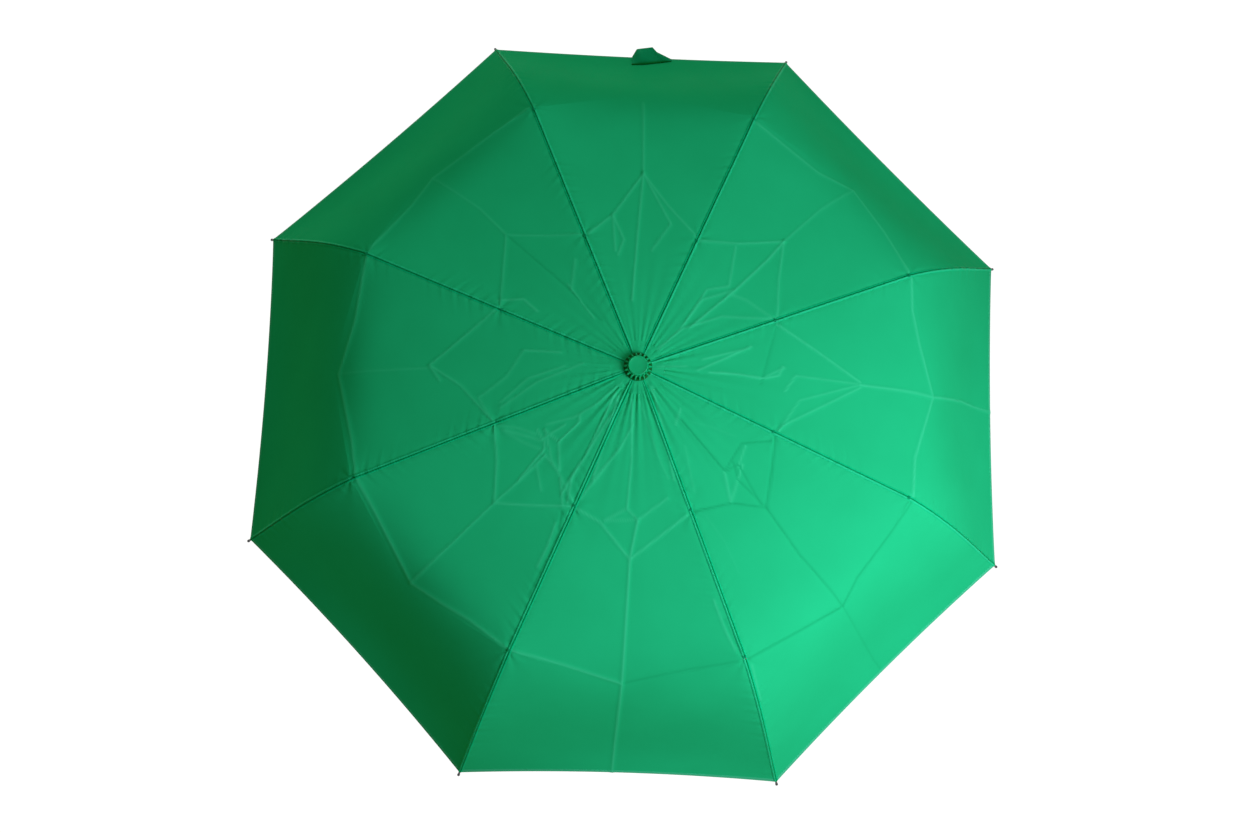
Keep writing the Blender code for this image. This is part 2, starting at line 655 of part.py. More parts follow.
def runner_mesh():
    bore = UPPER_TUBE_R + RUNNER_PLAY
    groove = RING_WIRE_R + GAP
    floor = RING_R - RING_WIRE_R + BITE
    profile = [(bore, HUB_HALF_HEIGHT), (bore, -RUNNER_BELOW), (RUNNER_FLANGE_R, -RUNNER_BELOW),
               (RUNNER_FLANGE_R, -RUNNER_BELOW + SHEET), (RUNNER_GRIP_R, -GRIP_DROP),
               (RUNNER_BODY_R, -BODY_DROP), (RUNNER_NECK_R, -NECK_DROP),
               (RUNNER_NECK_R, -HUB_HALF_HEIGHT), (RUNNER_HUB_R, -HUB_HALF_HEIGHT),
               (RUNNER_HUB_R, -groove), (floor, -groove), (floor, groove),
               (RUNNER_HUB_R, groove), (RUNNER_HUB_R, HUB_HALF_HEIGHT)]
    window = box(UPPER_TUBE_R, RUNNER_FLANGE_R + OVERRUN, -BUTTON_HALF_WIDTH - 2 * GAP,
                 BUTTON_HALF_WIDTH + 2 * GAP, -BUTTON_DROP - BUTTON_HALF_HEIGHT - 2 * GAP,
                 -BUTTON_DROP + BUTTON_HALF_HEIGHT + 2 * GAP)
    high = HUB_HALF_HEIGHT + OVERRUN
    cuts = slots(RUNNER_NECK_R + BITE, RUNNER_HUB_R, -HUB_HALF_HEIGHT - BITE, high) + [window]
    clear = (TONGUE_HALF_WIDTH + TONGUE_PLAY + GAP) / RING_R
    wire = [hoop(arm_angle(i) + clear, arm_angle(i + 1) - clear, 3) for i in range(ARMS)]
    return shaped(shaped(lathe(profile), cuts=cuts), joins=wire)


def button_mesh():
    """Rocker with a nose for the tube's slot at its head and a thumb pad at its foot."""
    inner, outer = BUTTON_INNER_R - BUTTON_HINGE_R, BUTTON_PAD_R - BUTTON_HINGE_R
    nose = UPPER_TUBE_R + GAP - BUTTON_HINGE_R
    tall = BUTTON_HALF_HEIGHT
    back = RUNNER_BODY_R - BUTTON_HINGE_R
    outline = [complex(inner, -tall), complex(outer, -tall), complex(outer, -SHEET),
               complex(back, tall / 2), complex(back, tall), complex(inner, tall)]
    head = box(nose, inner + BITE, -NOSE_HALF_WIDTH, NOSE_HALF_WIDTH, tall - NOSE_HEIGHT, tall - BITE)
    axle = rod(0, PIN_R, -BUTTON_HALF_WIDTH - GAP, BUTTON_HALF_WIDTH + GAP)
    return shaped(plate(outline, -BUTTON_HALF_WIDTH, BUTTON_HALF_WIDTH), joins=[head, axle])


def build_runner():
    place("runner", runner_mesh(), BLACK_PLASTIC, 0.0, 0.45, at=(0, 0, HUB_Z))
    place("runner_button", button_mesh(), BLACK_PLASTIC, 0.0, 0.4,
          at=(BUTTON_HINGE_R, 0, HUB_Z - BUTTON_DROP))


# Crown

def notch_mesh():
    bore = UPPER_TUBE_R + GAP
    groove = RING_WIRE_R + GAP
    profile = [(bore, -NOTCH_BELOW), (NOTCH_R, -NOTCH_BELOW), (NOTCH_R, -groove),
               (RING_R - groove, -groove), (RING_R - groove, groove), (NOTCH_R, groove),
               (NOTCH_R, NOTCH_ABOVE), (NOTCH_HOLE_R, NOTCH_ABOVE),
               (NOTCH_HOLE_R, NOTCH_ABOVE - NOTCH_ROOF), (bore, NOTCH_ABOVE - NOTCH_ROOF)]
    cuts = slots(bore + NOTCH_CORE, NOTCH_R, -NOTCH_BELOW - OVERRUN, EYE_R + GAP)
    return shaped(lathe(profile), cuts=cuts)


def fluted_ring(radius):
    """Outline of the cap: a tooth, its rounded flanks and a groove, again and again."""
    steps = ((0.0, 1), (0.16, 1), (0.34, 0), (0.66, 0), (0.84, 1))
    points = []
    for tooth in range(CAP_FLUTES):
        for share, high in steps:
            a = 2 * math.pi * (tooth + share) / CAP_FLUTES
            r = radius if high else radius - FLUTE_DEPTH
            points.append(r * toward(a))
    return points


def cap_mesh():
    levels = ((0, CAP_R), (CAP_SKIRT, CAP_R), (CAP_SKIRT + CAP_SHOULDER, CAP_R - CAP_SHOULDER_IN))
    rings = [[(p.real, p.imag, z) for p in fluted_ring(radius)] for z, radius in levels]
    stem_r = NOTCH_HOLE_R - GAP
    return shaped(loft(rings), joins=[post(((stem_r, -CAP_STEM_DROP), (stem_r, BITE)), PIN_SIDES)])


def build_crown():
    place("top_notch", notch_mesh(), BLACK_PLASTIC, 0.0, 0.45, at=(0, 0, PIVOT_Z))
    place("notch_wire", hoop(0, 2 * math.pi, ROUND), BRIGHT_STEEL, 1.0, 0.3, at=(0, 0, PIVOT_Z))
    place("crown_cap", cap_mesh(), GREEN_PLASTIC, 0.0, 0.35, at=(0, 0, CAP_Z))
    low = CAP_Z + CAP_SKIRT + CAP_SHOULDER + GAP
    levels = ((DISC_R, 0), (DISC_R, DISC_THICK - DISC_ROUND), (DISC_R - DISC_ROUND, DISC_THICK))
    place("cap_disc", post(levels), GREEN_PLASTIC, 0.0, 0.3, at=(0, 0, low))


# Cloth

def rib_line():
    """Underside of the cloth over a rib, crown to tip: places in the arm's plane."""
    crest = NOTCH_ABOVE + GAP
    points = [complex(CLOTH_HOLE_R, crest), complex(CLOTH_FLAT_R, crest)]
    knee = LINKS["knee"] + 1j * (EYE_R + 2 * GAP + KNEE_EASE)
    points += [points[-1] + (knee - points[-1]) * s for s in INNER_SHARES] + [knee]
    up = 1j * toward(LINKS["open"]["middle"])
    elbow = LINKS["elbow"] + up * (ELBOW_SINK - KNEE_CLEAR + 2 * GAP + ELBOW_EASE)
    points += [knee + (elbow - knee) * s for s in OUTER_SHARES] + [elbow]
    curve = tail_curve()
    ease = CLOTH_EASE_SHARE * abs(LINKS["tip"] - LINKS["elbow"])
    for t in TAIL_SHARES:
        along = curve(t) - curve(t - 1 / ROUND)
        radius = TAIL_ROOT_R + (TAIL_END_R - TAIL_ROOT_R) * t
        points.append(curve(t) + 1j * along / abs(along) * (radius + ease))
    return points


def bowed(start, end, shares, swell):
    """Places on a line that swells outwards between its ends."""
    out = 1j * (end - start) / abs(end - start) * swell
    return [start + (end - start) * t + out * 4 * t * (1 - t) for t in shares]


def gore_line(ribs):
    """Underside of the cloth along the middle of a gore, one place for each of the rib line's."""
    fold = complex(MID_FOLD_R, -MID_FOLD_DROP)
    crease = complex(MID_CREASE_R, -MID_CREASE_DROP)
    hem = complex(ribs[-1].real * math.cos(PITCH / 2) - HEM_HOLLOW, ribs[-1].imag)
    points = [ribs[0], ribs[1]] + bowed(ribs[1], fold, INNER_SHARES, 0) + [fold]
    points += bowed(fold, crease, OUTER_SHARES, MID_SWELL) + [crease]
    return points + bowed(crease, hem, TAIL_SHARES, MID_TAIL_SWELL)


def canopy_mesh():
    """Eight gores, each slung between two ribs and level across its middle."""
    ribs = rib_line()
    middles = gore_line(ribs)
    bm = bmesh.new()
    rings = []
    for rib, mid in zip(ribs, middles):
        ring = []
        for gore in range(ARMS):
            for column in range(GORE_COLUMNS):
                t = 2 * column / GORE_COLUMNS - 1
                near = abs(t)
                edge = arm_angle(gore if t < 0 else gore + 1)
                a = rib.real * toward(edge)
                b = mid.real * toward((gore + 1) * PITCH)
                spot = a * near + b * (1 - near)
                z = mid.imag + (rib.imag - mid.imag) * near ** 2
                ring.append(bm.verts.new((spot.real, spot.imag, z)))
        rings.append(ring)
    for one, two in zip(rings, rings[1:]):
        for j in range(len(one)):
            k = (j + 1) % len(one)
            bm.faces.new((one[j], two[j], two[k], one[k]))
    return mesh_from(bm, "canopy", flip=False)


def build_cloth():
    cloth = place("canopy", canopy_mesh(), GREEN_CLOTH, 0.0, 0.6, at=(0, 0, PIVOT_Z))
    thick = cloth.modifiers.new("cloth", "SOLIDIFY")
    thick.thickness = CLOTH
    thick.offset = 1.0
    ribs = rib_line()
    hem = gore_line(ribs)[-1]
    before = gore_line(ribs)[-2]
    slope = cmath.phase(hem - before)
    frame = bpy.data.objects.new("strap_frame", None)
    bpy.context.scene.collection.objects.link(frame)
    frame.rotation_euler = (0, -slope, math.pi / 2)
    lift = (CLOTH + STRAP_LIFT) * 1j * toward(slope)
    frame.location = (0, hem.real + lift.real, PIVOT_Z + hem.imag + lift.imag)
    inner, outer = STRAP_OVERHANG - STRAP_REACH, STRAP_OVERHANG
    fold = STRAP_RISE / 2
    loop = [complex(inner, 0), complex(outer - fold, 0)]
    loop += arc(complex(outer - fold, fold), fold, -60, 60, 4)
    loop += [complex(outer - fold, STRAP_RISE), complex(inner + STRAP_RISE, STRAP_RISE * 0.8)]
    back = [p - STRAP_LAYER * 1j * toward(0) for p in (loop[-1], loop[-2])]
    back += arc(complex(outer - fold, fold), fold - STRAP_LAYER, 60, -60, 4)
    back += [complex(outer - fold, STRAP_LAYER), complex(inner, STRAP_LAYER)]
    place("tie_strap", plate(loop + back, -STRAP_WIDTH / 2, STRAP_WIDTH / 2), GREEN_CLOTH, 0.0, 0.7,
          parent=frame)
    low = STRAP_LAYER + GAP
    patch = box(inner + STRAP_RISE, inner + STRAP_RISE + PATCH_DEPTH, -PATCH_WIDTH / 2,
                PATCH_WIDTH / 2, low, low + PATCH_THICK)
    place("strap_fastener", patch, BLACK_PLASTIC, 0.0, 0.9, parent=frame)


def build_umbrella():
    clear_scene()
    through = build_shaft()
    build_handle(through)
    build_crown()
    build_runner()
    build_arms()
    build_cloth()
    bpy.context.view_layer.update()


build_umbrella()
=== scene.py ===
import math

import bmesh
import bpy
import numpy as np
from mathutils import Matrix, Vector


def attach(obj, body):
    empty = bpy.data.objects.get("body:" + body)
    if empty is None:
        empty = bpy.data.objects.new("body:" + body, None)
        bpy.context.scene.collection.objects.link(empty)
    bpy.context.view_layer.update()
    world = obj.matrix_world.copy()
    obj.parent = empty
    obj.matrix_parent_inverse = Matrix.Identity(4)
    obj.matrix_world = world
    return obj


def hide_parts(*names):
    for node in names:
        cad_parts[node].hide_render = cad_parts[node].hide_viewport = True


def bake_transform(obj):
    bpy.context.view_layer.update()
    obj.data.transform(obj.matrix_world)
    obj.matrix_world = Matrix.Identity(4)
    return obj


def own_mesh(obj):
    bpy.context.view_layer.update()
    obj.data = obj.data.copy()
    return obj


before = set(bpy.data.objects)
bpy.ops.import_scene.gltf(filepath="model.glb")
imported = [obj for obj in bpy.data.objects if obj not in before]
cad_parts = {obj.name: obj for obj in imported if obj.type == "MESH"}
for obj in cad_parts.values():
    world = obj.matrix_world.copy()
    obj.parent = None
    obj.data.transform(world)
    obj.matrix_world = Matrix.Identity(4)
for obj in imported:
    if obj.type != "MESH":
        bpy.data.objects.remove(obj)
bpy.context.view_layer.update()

# The studio. The umbrella is held up in a white room and seen from above, a little from the
# handle side, with a soft lamp low on the right, a large one far behind and white paper below.
EYE = Vector((-0.0565, -0.3075, 2.0309))
EYE_RIGHT = Vector((0.99886, 0.03197, 0.03555))
EYE_UP = Vector((-0.03750, 0.98514, 0.16762))
EYE_BACK = Vector((-0.02967, -0.16876, 0.98521))
FLOOR_LEVEL = -0.95
LAMP_AIM = Vector((0, 0, 0.45))


def linear(hex_colour):
    """An sRGB hex colour as the linear colour that a socket takes."""
    channels = [int(hex_colour[i:i + 2], 16) / 255 for i in (0, 2, 4)]
    return [c / 12.92 if c <= 0.04045 else ((c + 0.055) / 1.055) ** 2.4 for c in channels] + [1.0]


def add(material, kind, links=(), sockets=(), **settings):
    """Add a node with its settings, set its sockets, and link other nodes' outputs to it."""
    made = material.node_tree.nodes.new(kind)
    for name, value in settings.items():
        setattr(made, name, value)
    for socket, value in dict(sockets).items():
        made.inputs[socket].default_value = value
    for socket, output in dict(links).items():
        material.node_tree.links.new(output, made.inputs[socket])
    return made


def seen_ray(setting):
    """1 where the camera sees a thing, straight, in a reflection or through glass, and 0 for its light."""
    ray = add(setting, "ShaderNodeLightPath")
    direct = add(setting, "ShaderNodeMath",
                 {0: ray.outputs["Is Camera Ray"], 1: ray.outputs["Is Glossy Ray"]}, operation="MAXIMUM")
    return add(setting, "ShaderNodeMath",
               {0: direct.outputs[0], 1: ray.outputs["Is Transmission Ray"]}, operation="MAXIMUM")


camera = bpy.data.objects.new("studio_camera", bpy.data.cameras.new("studio_camera"))
bpy.context.scene.collection.objects.link(camera)
camera.data.lens = 40.27
camera.data.sensor_width = 36.0
camera.data.clip_start = 0.05
camera.matrix_world = Matrix((EYE_RIGHT, EYE_UP, EYE_BACK)).transposed().to_4x4()
camera.location = EYE
bpy.context.scene.camera = camera
bpy.context.scene.view_settings.view_transform = "Standard"

bpy.ops.object.select_all(action="DESELECT")
bpy.ops.mesh.primitive_plane_add(size=14.0, location=(0, 0, FLOOR_LEVEL))
floor = bpy.context.object
floor.name = "studio_floor"
# Seamless paper, lit from behind so that it is white to the eye, and a little warm where it
# throws light up under the cloth; the matt share of it keeps the umbrella's soft shadow
paper = bpy.data.materials.new("seamless_white_paper")
paper.use_nodes = True
paper.node_tree.nodes.clear()
seen = seen_ray(paper)
bounce = add(paper, "ShaderNodeEmission", sockets={"Color": (1.0, 0.97, 0.18, 1.0), "Strength": 0.29})
white = add(paper, "ShaderNodeEmission", sockets={"Color": linear("ffffff"), "Strength": 0.96})
glow = add(paper, "ShaderNodeMixShader",
           {0: seen.outputs[0], 1: bounce.outputs[0], 2: white.outputs[0]})
matt = add(paper, "ShaderNodeBsdfDiffuse", sockets={"Color": linear("a0a0a0")})
both = add(paper, "ShaderNodeAddShader", {0: glow.outputs[0], 1: matt.outputs[0]})
add(paper, "ShaderNodeOutputMaterial", {"Surface": both.outputs[0]})
floor.data.materials.append(paper)

room = bpy.data.worlds.new("pale_room")
bpy.context.scene.world = room
room.use_nodes = True
room.node_tree.nodes.clear()
seen = seen_ray(room)
lit = add(room, "ShaderNodeBackground", sockets={"Color": (1.0, 1.0, 0.62, 1.0), "Strength": 0.144})
white = add(room, "ShaderNodeBackground", sockets={"Color": linear("ffffff"), "Strength": 1.0})
mixed = add(room, "ShaderNodeMixShader", {0: seen.outputs[0], 1: lit.outputs[0], 2: white.outputs[0]})
add(room, "ShaderNodeOutputWorld", {"Surface": mixed.outputs[0]})


def softbox(name, place, width, power, tint):
    """A square studio lamp turned to face the umbrella."""
    lamp = bpy.data.objects.new(name, bpy.data.lights.new(name, "AREA"))
    bpy.context.scene.collection.objects.link(lamp)
    lamp.data.size = width
    lamp.data.energy = power
    lamp.data.color = tint
    lamp.location = place
    lamp.rotation_euler = (LAMP_AIM - Vector(place)).to_track_quat("-Z", "Y").to_euler()
    lamp.visible_camera = False


softbox("key_softbox", (0.615, -0.428, 1.10), 0.6, 7.7, (1.35, 1.0, 1.34))
softbox("back_softbox", (-0.145, 4.0, 2.11), 1.5, 35.0, (0.96, 1.0, 1.16))

# The handle. A short grip moulded in ABS and dipped in a soft-touch rubber paint, with finger
# rings round its waist, pressed over the lowest tube and held by a steel cross pin. A hard cap
# is snapped into its foot.
GRIP_SIDES = 72
GRIP_RINGS = (11.0, 15.0, 19.0, 23.0, 27.0, 31.0, 35.0, 39.0)
RING_DEEP = 0.55


def turned(name, sides, levels, flutes=()):
    """Turn a closed piece round the shaft through (radius, height) levels in millimetres.

    Each of flutes is a count, the share of the radius left in their hollows, and the least and
    most distance from a hollow's middle that are sunk so, as shares of one flute.
    """
    bpy.ops.object.select_all(action="DESELECT")
    radius, height = levels[0]
    bpy.ops.mesh.primitive_circle_add(vertices=sides, radius=radius / 1000, location=(0, 0, height / 1000))
    piece = bpy.context.object
    piece.name = piece.data.name = name
    bpy.ops.object.mode_set(mode="EDIT")
    net = bmesh.from_edit_mesh(piece.data)
    for count, share, low, high in flutes:
        for vert in net.verts:
            turn = math.atan2(vert.co.y, vert.co.x) / (2 * math.pi) * count
            vert.select = low < abs(turn - math.floor(turn) - 0.5) < high
        bmesh.update_edit_mesh(piece.data)
        bpy.ops.transform.resize(value=(share, share, 1), center_override=(0, 0, height / 1000))
    bpy.ops.mesh.select_all(action="SELECT")
    for new_radius, new_height in levels[1:]:
        bpy.ops.mesh.extrude_region_move(
            TRANSFORM_OT_translate={"value": (0, 0, (new_height - height) / 1000)})
        share = new_radius / radius
        bpy.ops.transform.resize(value=(share, share, 1), center_override=(0, 0, new_height / 1000))
        radius, height = new_radius, new_height
    bpy.ops.mesh.select_all(action="SELECT")
    bpy.ops.mesh.remove_doubles(threshold=1e-6)
    bpy.ops.mesh.select_all(action="DESELECT")
    bpy.ops.mesh.select_mode(type="EDGE")
    bpy.ops.mesh.select_non_manifold(extend=False, use_multi_face=False, use_verts=False)
    if any(edge.select for edge in bmesh.from_edit_mesh(piece.data).edges):
        bpy.ops.mesh.fill_holes(sides=0)
    bpy.ops.mesh.select_all(action="SELECT")
    bpy.ops.mesh.normals_make_consistent(inside=False)
    bpy.ops.object.mode_set(mode="OBJECT")
    bpy.ops.object.transform_apply(location=True, rotation=True, scale=True)
    bpy.ops.object.shade_smooth_by_angle(angle=math.radians(38))
    return piece


def blank(name, rough, metal=0.0):
    """A new material of this name and its shader."""
    material = bpy.data.materials.new(name)
    material.use_nodes = True
    shader = material.node_tree.nodes["Principled BSDF"]
    shader.inputs["Roughness"].default_value = rough
    shader.inputs["Metallic"].default_value = metal
    return material, shader


def coat(shader, tone, dull=None, bump=None):
    """Link a shader's colour to the nodes that draw it, and its roughness and normal where they vary."""
    links = shader.id_data.links
    links.new(tone.outputs[2], shader.inputs["Base Color"])
    if dull:
        links.new(dull.outputs[0], shader.inputs["Roughness"])
    if bump:
        links.new(bump.outputs[0], shader.inputs["Normal"])


def waist(height):
    """Radius of the grip at a height in millimetres: it narrows where the fingers close."""
    return 12.25 + 1.75 * ((height - 26.0) / 20.0) ** 2


levels = [(4.7, 6.3), (13.1, 6.3), (13.6, 6.6), (13.8, 7.2), (13.8, 9.0)]
for height in GRIP_RINGS:
    radius = min(waist(height), 13.8)
    levels += [(radius, height), (radius - RING_DEEP * 0.7, height + 0.35),
               (radius - RING_DEEP, height + 0.9), (radius - RING_DEEP * 0.7, height + 1.45),
               (min(waist(height + 1.8), 14.0), height + 1.8)]
levels += [(14.1, 44.5), (14.55, 46.5), (14.6, 51.6), (14.35, 52.6), (13.7, 53.0), (11.9, 53.0),
           (11.45, 52.6), (11.4, 48.0), (5.2, 48.0), (5.2, 12.0), (4.7, 12.0), (4.7, 6.3)]
grip = turned("soft_grip", GRIP_SIDES, levels)
# Soft-touch rubber paint over ABS: no shine, an even grain drawn 0.5 mm wide to show, and rubbed
# patches about 14 mm wide that are darker and smoother
rubber, shader = blank("soft_touch_rubber", 0.62)
where = add(rubber, "ShaderNodeTexCoord")
grain = add(rubber, "ShaderNodeTexNoise", {"Vector": where.outputs["Object"]},
            {"Scale": 2200.0, "Detail": 2.0})
rubbed = add(rubber, "ShaderNodeTexNoise", {"Vector": where.outputs["Object"]},
             {"Scale": 70.0, "Detail": 3.0})
tone = add(rubber, "ShaderNodeMix", {"Factor": rubbed.outputs["Fac"]},
           {6: linear("0a6f44"), 7: linear("0d8350")}, data_type="RGBA")
dull = add(rubber, "ShaderNodeMapRange", {"Value": rubbed.outputs["Fac"]}, {"To Min": 0.52, "To Max": 0.70})
bump = add(rubber, "ShaderNodeBump", {"Height": grain.outputs["Fac"]},
           {"Strength": 0.35, "Distance": 0.00012})
coat(shader, tone, dull, bump)
shader.inputs["Specular IOR Level"].default_value = 0.3
grip.data.materials.append(rubber)
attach(grip, "handle")
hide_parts("handle_grip")

foot = turned("grip_foot_cap", GRIP_SIDES, [
    (0.4, 0.7), (8.2, 0.7), (8.8, 0.5), (9.3, 0.1), (9.8, 0.0), (12.2, 0.0), (13.1, 0.25), (13.6, 0.8),
    (13.8, 1.6), (13.8, 5.3), (13.5, 5.9), (13.0, 6.1), (0.4, 6.1)])
# Hard black ABS with a spark-eroded mould grain of 0.7 mm, glossier in patches 6 mm wide
abs_black, shader = blank("moulded_black_abs", 0.42)
where = add(abs_black, "ShaderNodeTexCoord")
grain = add(abs_black, "ShaderNodeTexVoronoi", {"Vector": where.outputs["Object"]}, {"Scale": 1500.0})
cloud = add(abs_black, "ShaderNodeTexNoise", {"Vector": where.outputs["Object"]},
            {"Scale": 160.0, "Detail": 4.0})
tone = add(abs_black, "ShaderNodeMix", {"Factor": cloud.outputs["Fac"]},
           {6: linear("17191a"), 7: linear("242728")}, data_type="RGBA")
dull = add(abs_black, "ShaderNodeMapRange", {"Value": cloud.outputs["Fac"]}, {"To Min": 0.34, "To Max": 0.50})
bump = add(abs_black, "ShaderNodeBump", {"Height": grain.outputs["Distance"]},
           {"Strength": 0.3, "Distance": 0.0001})
coat(shader, tone, dull, bump)
foot.data.materials.append(abs_black)
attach(foot, "handle")
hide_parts("handle_end_cap")

# The shaft. Three seamed steel tubes drawn to size, nickel plated, sliding in one another, with
# two sprung catches of hardened strip that snap out through their holes, and the handle's pin.
# Bright plate on drawn steel: faint lines 0.4 mm wide along the tube, cloudy wear 18 mm wide
plate, shader = blank("nickel_plated_steel", 0.28, 1.0)
where = add(plate, "ShaderNodeTexCoord")
along = add(plate, "ShaderNodeMapping", {"Vector": where.outputs["Object"]}, {"Scale": (1.0, 1.0, 0.012)})
drawn = add(plate, "ShaderNodeTexNoise", {"Vector": along.outputs[0]}, {"Scale": 2600.0, "Detail": 2.0})
cloud = add(plate, "ShaderNodeTexNoise", {"Vector": where.outputs["Object"]}, {"Scale": 55.0, "Detail": 5.0})
tone = add(plate, "ShaderNodeMix", {"Factor": cloud.outputs["Fac"]},
           {6: linear("bdbcb7"), 7: linear("cac9c4")}, data_type="RGBA")
dull = add(plate, "ShaderNodeMapRange", {"Value": cloud.outputs["Fac"]}, {"To Min": 0.24, "To Max": 0.32})
bump = add(plate, "ShaderNodeBump", {"Height": drawn.outputs["Fac"]}, {"Strength": 0.05, "Distance": 0.00003})
coat(shader, tone, dull, bump)
# Zinc-plated spring steel: paler, with the crystal bloom of a barrel-plated part, 1.1 mm across
zinc, shader = blank("zinc_plated_spring_steel", 0.34, 1.0)
where = add(zinc, "ShaderNodeTexCoord")
bloom = add(zinc, "ShaderNodeTexVoronoi", {"Vector": where.outputs["Object"]}, {"Scale": 900.0})
tone = add(zinc, "ShaderNodeMix", {"Factor": bloom.outputs["Distance"]},
           {6: linear("a9abac"), 7: linear("c6c8c8")}, data_type="RGBA")
dull = add(zinc, "ShaderNodeMapRange", {"Value": bloom.outputs["Distance"]}, {"To Min": 0.28, "To Max": 0.44})
coat(shader, tone, dull)
for name, finish in (("lower_tube", plate), ("middle_tube", plate), ("upper_tube", plate),
                     ("lower_catch", zinc), ("middle_catch", zinc), ("handle_pin", zinc)):
    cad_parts[name].material_slots[0].material = finish

# The crown and the runner. Both are moulded in glass-filled nylon with eight slots for the ribs,
# which hang on a ring of steel wire laid in a groove; the runner slides on the upper tube and
# carries a rocking button whose nose drops into the tube's slot.
# Glass-filled nylon: matt black, with short pale fibres just under the skin. They are finer than
# a hair and drawn 0.6 mm wide and 2 mm long to show
nylon, shader = blank("glass_filled_nylon", 0.5)
where = add(nylon, "ShaderNodeTexCoord")
strand = add(nylon, "ShaderNodeMapping", {"Vector": where.outputs["Object"]}, {"Scale": (1.0, 1.0, 0.3)})
fibre = add(nylon, "ShaderNodeTexNoise", {"Vector": strand.outputs[0]}, {"Scale": 1700.0, "Detail": 3.0})
tone = add(nylon, "ShaderNodeMix", {"Factor": fibre.outputs["Fac"]},
           {6: linear("131416"), 7: linear("2b2d30")}, data_type="RGBA")
bump = add(nylon, "ShaderNodeBump", {"Height": fibre.outputs["Fac"]}, {"Strength": 0.25, "Distance": 0.0001})
coat(shader, tone, bump=bump)
# Acetal: smooth, slightly waxy, clouded every 2.4 mm, grey so that the thumb finds it on the runner
acetal, shader = blank("moulded_grey_acetal", 0.36)
where = add(acetal, "ShaderNodeTexCoord")
cloud = add(acetal, "ShaderNodeTexNoise", {"Vector": where.outputs["Object"]},
            {"Scale": 420.0, "Detail": 3.0})
tone = add(acetal, "ShaderNodeMix", {"Factor": cloud.outputs["Fac"]},
           {6: linear("55595c"), 7: linear("63686b")}, data_type="RGBA")
dull = add(acetal, "ShaderNodeMapRange", {"Value": cloud.outputs["Fac"]}, {"To Min": 0.28, "To Max": 0.44})
coat(shader, tone, dull)
# Bright ring wire, with the marks of the drawing die, 0.7 mm wide
wire, shader = blank("drawn_ring_wire", 0.3, 1.0)
where = add(wire, "ShaderNodeTexCoord")
drawn = add(wire, "ShaderNodeTexNoise", {"Vector": where.outputs["Object"]}, {"Scale": 1400.0, "Detail": 2.0})
tone = add(wire, "ShaderNodeMix", {"Factor": drawn.outputs["Fac"]},
           {6: linear("9d9b95"), 7: linear("bdbbb6")}, data_type="RGBA")
coat(shader, tone)
for name, finish in (("runner", nylon), ("top_notch", nylon), ("runner_button", acetal),
                     ("notch_wire", wire)):
    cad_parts[name].material_slots[0].material = finish

# The arms. Channel ribs roll-formed from steel strip, riveted at their ends, with a wire tail
# that is crimped in and ends in a small ball. All of it is dipped in black stove enamel.
ARMS = 8
# Stoved black enamel on steel: glossy with a slight orange peel, 1.1 mm from dimple to dimple,
# and thin and greyer in patches 8 mm wide
enamel, shader = blank("stoved_black_enamel", 0.3)
where = add(enamel, "ShaderNodeTexCoord")
peel = add(enamel, "ShaderNodeTexNoise", {"Vector": where.outputs["Object"]}, {"Scale": 900.0, "Detail": 1.0})
thin = add(enamel, "ShaderNodeTexNoise", {"Vector": where.outputs["Object"]}, {"Scale": 130.0, "Detail": 5.0})
tone = add(enamel, "ShaderNodeMix", {"Factor": thin.outputs["Fac"]},
           {6: linear("0d0e0f"), 7: linear("27292b")}, data_type="RGBA")
dull = add(enamel, "ShaderNodeMapRange", {"Value": thin.outputs["Fac"]}, {"To Min": 0.22, "To Max": 0.42})
bump = add(enamel, "ShaderNodeBump", {"Height": peel.outputs["Fac"]}, {"Strength": 0.2, "Distance": 0.0001})
coat(shader, tone, dull, bump)
shader.inputs["Coat Weight"].default_value = 0.4
shader.inputs["Coat Roughness"].default_value = 0.12
# The wire tails carry a thinner, duller coat, which the cloth has polished in spots 4 mm wide
tail_coat, shader = blank("enamelled_spring_wire", 0.4)
where = add(tail_coat, "ShaderNodeTexCoord")
polish = add(tail_coat, "ShaderNodeTexNoise", {"Vector": where.outputs["Object"]},
             {"Scale": 260.0, "Detail": 4.0})
tone = add(tail_coat, "ShaderNodeMix", {"Factor": polish.outputs["Fac"]},
           {6: linear("0b0c0d"), 7: linear("222426")}, data_type="RGBA")
dull = add(tail_coat, "ShaderNodeMapRange", {"Value": polish.outputs["Fac"]},
           {"To Min": 0.26, "To Max": 0.52})
coat(shader, tone, dull)
for number in range(1, ARMS + 1):
    for member in ("top_rib", "stretcher", "link_rod", "middle_rib"):
        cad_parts[f"{member}_{number}"].material_slots[0].material = enamel
    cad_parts[f"tail_rib_{number}"].material_slots[0].material = tail_coat

# The canopy. Eight gores of thin plain-weave polyester, cut on a curve, sewn rib to rib and pulled
# taut over the arms, with a narrow stitched hem. Each gore keeps the sharp folds of its case: one
# down its middle, two rings where the ribs double back, and small stray ones near the crown.
CLOTH_THICK = 0.0003
CLOTH_STEP = 0.0019
# Height on the shaft that folds and puckers stand away from, and the flat cut's left margin
BULGE_CENTRE = 0.15
CUT_MARGIN = 0.2
HALF_GORE = math.pi / ARMS
CROWN_EDGE = (0.0300, 0.5533)
KNEE_TOP = (0.1650, 0.5347)
ELBOW_TOP = (0.3318, 0.5119)
TIP_TOP = (0.4835, 0.3514)
TAIL_HANDLE = 0.35
TAIL_DROOPS = (29.3, 50.3)
